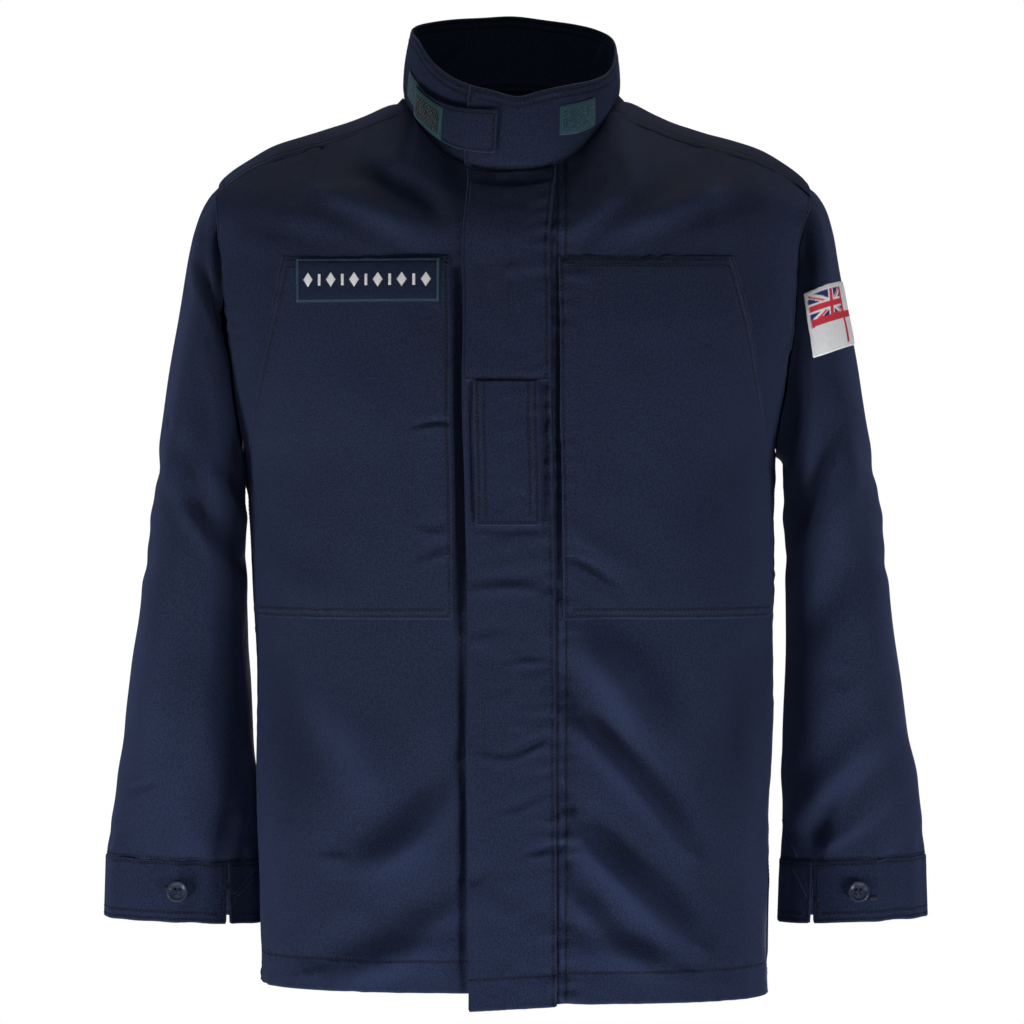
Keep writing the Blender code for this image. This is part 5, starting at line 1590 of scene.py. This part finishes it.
class JACKET_OT_front(bpy.types.Operator):
    """Makes the placket, the rank tab and the pockets"""

    bl_idname = "jacket.front"
    bl_label = "Placket and pockets"

    def execute(self, context):
        for seed, cloth in enumerate(lay_out(("right_pocket", "left_pocket"))):
            sewn = ("start" if cloth.node == "right_pocket" else "end", "top", "bottom")
            follow(cloth, ("right_front", "left_front"))
            settle(cloth, sewn, 0.0011, 0.005)
            press_creases(cloth, POCKET_CREASES)
            soften(cloth, 50 + seed, 0.0006)
            for n, side in enumerate(sewn):
                pucker(cloth, side, 100 + 5 * seed + n, 0.0004, 0.010)
            finish_sheet(cloth.node, body_cloth())
        placket, top, tab = lay_out(("placket", "placket_top", "rank_tab"))
        follow(placket, ("right_front", "left_front"))
        press_creases(placket, PLACKET_CREASES)
        sink(placket, PLACKET_SLOTS)
        soften(placket, 60, 0.0006)
        settle(placket, ("end",), 0.0008, 0.005)
        pucker(placket, "end", 110, 0.0006, 0.014)
        wall = placket.plan.wall + PLACKET_HEM_LAYER * hem_share(placket)
        finish_sheet("placket", body_cloth(), wall)
        follow(top, ("placket",))
        follow(tab, ("placket",))
        settle(top, ("end", "bottom"), 0.0008, 0.004)
        pucker(top, "end", 114, 0.0004, 0.010)
        finish_sheet("placket_top", body_cloth())
        tab.move(np.full(tab.v.shape, RANK_TAB_LIFT))
        pucker(tab, "bottom", 118, 0.0003, 0.008)
        finish_sheet("rank_tab", body_cloth())
        boxes = [(node, line) for node, lines in SEWN_BOXES.items() for line in lines]
        extra = [drawn_row(CLOTHS[node], line) for node, line in boxes]
        tacks = [drawn_row(CLOTHS[node], line) for node, line in TACKS]
        sew("bar_tacks", tacks, body_thread(), BAR_TACK)
        sewn = ("right_pocket", "left_pocket", "placket", "placket_top", "rank_tab")
        sew_all("front_stitches", sewn, extra)
        return {"FINISHED"}


WHITE_DYE = (0.80, 0.80, 0.82)
RED_DYE = (0.62, 0.035, 0.060)
BLUE_DYE = (0.020, 0.030, 0.150)
FLAG_MARGIN = 0.0034         # the flag's plain border
SATIN_INSET = (0.0014, 0.0004)         # how far in a border's row lies and where it ends
FLAG_INSET = (0.0016, 0.0016)


def ensign_dye(s, t):
    """Colours at shares of a plain flag's length from the pole and of its height."""
    white, red, blue = WHITE_DYE, RED_DYE, BLUE_DYE
    dye = np.empty(s.shape + (3,))
    dye[:] = white
    canton = (s < 0.5) & (t > 0.5)
    x, y = s * 4.0 - 1.0, t * 4.0 - 3.0           # the canton from -1 to 1 each way
    dye[canton] = blue
    slope = 1.0 / math.hypot(0.5, 1.0)
    for way in (1.0, -1.0):
        off = (y - way * x) * slope / 2.0         # across the diagonal, in canton heights
        dye[canton & (np.abs(off) < 0.10)] = white
    for way in (1.0, -1.0):
        off = (y - way * x) * slope / 2.0
        turn = np.where(x * way < 0.0, 1.0, -1.0) * way
        dye[canton & (np.abs(off + turn * 0.033) < 0.033)] = red
    dye[canton & ((np.abs(x) < 1.0 / 6.0) | (np.abs(y) < 1.0 / 3.0))] = white
    dye[canton & ((np.abs(x) < 1.0 / 10.0) | (np.abs(y) < 1.0 / 5.0))] = red
    dye[(np.abs(s - 0.5) < 0.034) | (np.abs(t - 0.5) < 0.067)] = red
    return dye


class JACKET_OT_patches(bpy.types.Operator):
    """Makes the name patch and the flag patch"""

    bl_idname = "jacket.patches"
    bl_label = "Patches"

    def execute(self, context):
        colours = context.scene.jacket_colours
        patch, flag = lay_out(("name_patch", "flag_patch"))
        follow(patch, ("right_front", "right_pocket"))
        settle(patch, SIDES, 0.0010, 0.004, 0.0004)
        dark, light = (0.0034, 0.0066, 0.0200), (0.0095, 0.0160, 0.0430)
        ground = cached("name_tape", cloth_material, dark, light, pitch=0.0016, sheen=0.05)
        finish_sheet("name_patch", ground)
        edge = cached("border_thread", thread_material, colours.border, (0.030, 0.085, 0.125))
        rows = [edge_row(patch, side, *SATIN_INSET) for side in SIDES]
        sew("name_patch_border", rows, edge, SATIN)
        make_motif(patch)
        follow(flag, ("left_sleeve",))
        settle(flag, SIDES, 0.0020, 0.004, 0.0014)
        piece = finish_sheet("flag_patch", cached("flag_print", dyed_material))
        s = (flag.u - FLAG_MARGIN) / (flag.u[:, -1:] - 2.0 * FLAG_MARGIN)
        t = (flag.v - FLAG_MARGIN) / (flag.v[-1:] - 2.0 * FLAG_MARGIN)
        dye = ensign_dye(s, t)
        dye[(s < 0.0) | (s > 1.0) | (t < 0.0) | (t > 1.0)] = WHITE_DYE
        colors = np.full((len(piece.data.vertices), 4), 0.8)
        colors[: s.size, :3] = dye.reshape(-1, 3)
        colors[:, 3] = 1.0
        layer = piece.data.attributes.new("dye", "FLOAT_COLOR", "POINT")
        layer.data.foreach_set("color", colors.ravel())
        rows = [edge_row(flag, side, *FLAG_INSET) for side in SIDES]
        sew("flag_border", rows, white_thread(), FLAG_EDGE)
        return {"FINISHED"}


MOTIF_SHAPES = 11            # lozenges and bars by turns
MOTIF_PITCH = 0.0098
MOTIF_ROW = 0.00042          # from one satin row to the next


def make_motif(patch):
    """Embroiders a plain row of lozenges and bars along the name patch."""
    rows, columns = patch.points.shape[:2]
    length = patch.u[rows // 2, -1]
    middle = patch.v[-1, columns // 2] * 0.5
    bars = []
    for n in range(MOTIF_SHAPES):
        lozenge = n % 2 == 0
        x = length * 0.5 + (n - MOTIF_SHAPES // 2) * MOTIF_PITCH
        half, wide = (0.0056, 0.0086) if lozenge else (0.0046, 0.0026)
        for y in np.arange(-half, half + 1e-6, MOTIF_ROW):
            reach = wide * (1.0 - abs(y) / half) / 2.0 + 0.0003 if lozenge else wide / 2.0
            bars.append((x - reach, x + reach, middle + y))
    lines = []
    for x1, x2, y in bars:
        r = np.interp(y, patch.v[:, columns // 2], np.arange(rows))
        c1, c2 = np.interp((x1, x2), patch.u[rows // 2], np.arange(columns))
        lines.append(sample(patch, np.full(3, r), np.linspace(c1, c2, 3)))
    satin(lines, "name_patch_motif", white_thread())


SATIN_WIDE = 0.00062
SATIN_HIGH = 0.0007


def satin(lines, name, material):
    """One long stitch laid from end to end of each line."""
    shape, faces = stitch_shape()
    points = []
    for line, outs in lines:
        ahead = line[-1] - line[0]
        out = outs[1] / np.linalg.norm(outs[1])
        side = np.cross(out, ahead / np.linalg.norm(ahead))
        flat = line[1] + ahead * shape[:, :1] + side * shape[:, 1:2] * SATIN_WIDE
        points.append(flat + out * (shape[:, 2:] + 0.25) * SATIN_HIGH)
    copies(name, points, faces, material)


HOLE_OFF = 0.0019            # a button hole's place, from the middle each way
HOLE_RADIUS = 0.0010
RIM_BEVEL = 0.00035
BUTTON_LIFT = 0.0001
SHANK = (0.0008, 0.0056, 0.0012)       # a bar of the thread through the holes
SHANK_GAP = 0.00055


def make_button(node):
    """A dished four-hole button with a raised rim, sewn on by two bars of thread."""
    mesh = frame["nodes"][node].data
    corners = np.array([v.co[:] for v in mesh.vertices])
    middle = corners.mean(axis=0)
    out = Vector(np.linalg.svd(corners - middle)[2][2])
    cuff = CLOTHS[node.replace("_button", "")]
    nearest = np.argmin(np.linalg.norm(cuff.points.reshape(-1, 3) - middle, axis=1))
    if out.dot(Vector(cuff.normals.reshape(-1, 3)[nearest])) < 0.0:
        out = -out
    deep = float(np.ptp((corners - middle) @ np.array(out)))
    radius = bpy.context.scene.jacket_sizes.button_diameter / 2.0
    bpy.ops.object.select_all(action="DESELECT")
    bpy.ops.mesh.primitive_cylinder_add(
        vertices=48, radius=radius, depth=deep, end_fill_type="NGON"
    )
    piece = bpy.context.object
    bpy.ops.object.mode_set(mode="EDIT")
    bpy.ops.mesh.select_mode(type="FACE")
    bpy.ops.mesh.select_all(action="DESELECT")
    bpy.ops.object.mode_set(mode="OBJECT")
    top = max(piece.data.polygons, key=lambda face: face.center.z)
    top.select = True
    bpy.ops.object.mode_set(mode="EDIT")
    bpy.ops.mesh.inset(thickness=radius * 0.20)
    bpy.ops.transform.translate(value=(0.0, 0.0, -0.0001))
    bpy.ops.mesh.inset(thickness=radius * 0.10)
    bpy.ops.transform.translate(value=(0.0, 0.0, -deep * 0.42))
    bpy.ops.mesh.inset(thickness=radius * 0.22)
    bpy.ops.transform.translate(value=(0.0, 0.0, -deep * 0.06))
    bpy.ops.object.mode_set(mode="OBJECT")
    bevel = piece.modifiers.new("rim", "BEVEL")
    bevel.width = RIM_BEVEL
    bevel.segments = 3
    bevel.angle_limit = math.radians(25.0)
    bpy.ops.object.modifier_apply(modifier="rim")
    for x in (-HOLE_OFF, HOLE_OFF):
        for y in (-HOLE_OFF, HOLE_OFF):
            bpy.ops.object.select_all(action="DESELECT")
            bpy.ops.mesh.primitive_cylinder_add(
                vertices=12, radius=HOLE_RADIUS, depth=deep * 3.0, location=(x, y, 0.0)
            )
            drill = bpy.context.object
            cut = piece.modifiers.new("hole", "BOOLEAN")
            cut.object = drill
            cut.solver = "EXACT"
            bpy.ops.object.select_all(action="DESELECT")
            piece.select_set(True)
            bpy.context.view_layer.objects.active = piece
            bpy.ops.object.modifier_apply(modifier="hole")
            bpy.data.objects.remove(drill)
    piece.name = node + "_detailed"
    place = Vector(middle) + out * BUTTON_LIFT
    from_flat = np.array(out.to_track_quat("Z", "Y").to_matrix())
    for v in piece.data.vertices:
        v.co = Vector(from_flat @ np.array(v.co)) + place
    piece.data.shade_smooth()
    bpy.ops.object.shade_smooth_by_angle(angle=math.radians(40.0))
    piece.data.materials.append(cached("button", button_material))
    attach(piece, "root")
    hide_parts(node)
    shape, faces = stitch_shape()
    points = []
    for x in (-HOLE_OFF, HOLE_OFF):
        for n in (-1.0, 0.0, 1.0):
            bar = shape * np.array(SHANK) + np.array((x + n * SHANK_GAP, 0.0, deep * 0.16))
            points.append(bar @ from_flat.T + np.array(place))
    copies(node + "_thread", points, faces, body_thread())


class JACKET_PT_panel(bpy.types.Panel):
    """Lists the jacket's pieces and settings"""

    bl_idname = "JACKET_PT_panel"
    bl_label = "Field jacket"
    bl_space_type = "VIEW_3D"
    bl_region_type = "UI"
    bl_category = "Jacket"

    def draw(self, context):
        for kind in OPERATORS:
            self.layout.operator(kind.bl_idname)
        for group in (context.scene.jacket_colours, context.scene.jacket_sizes):
            for name in group.__annotations__:
                self.layout.prop(group, name)


OPERATORS = (
    JACKET_OT_stage,
    JACKET_OT_body,
    JACKET_OT_sleeves,
    JACKET_OT_cuffs,
    JACKET_OT_collar,
    JACKET_OT_front,
    JACKET_OT_patches,
)
CLASSES = (JacketColours, JacketSizes, *OPERATORS, JACKET_PT_panel)


def register():
    """Registers the classes and the scene's properties."""
    for kind in CLASSES:
        bpy.utils.register_class(kind)
    bpy.types.Scene.jacket_colours = PointerProperty(type=JacketColours)
    bpy.types.Scene.jacket_sizes = PointerProperty(type=JacketSizes)


def unregister():
    """Takes them away again."""
    del bpy.types.Scene.jacket_sizes
    del bpy.types.Scene.jacket_colours
    for kind in reversed(CLASSES):
        bpy.utils.unregister_class(kind)


def main():
    register()
    bpy.ops.jacket.stage()
    bpy.ops.jacket.body()
    bpy.ops.jacket.sleeves()
    bpy.ops.jacket.cuffs()
    bpy.ops.jacket.collar()
    bpy.ops.jacket.front()
    bpy.ops.jacket.patches()


if __name__ == "__main__":
    main()
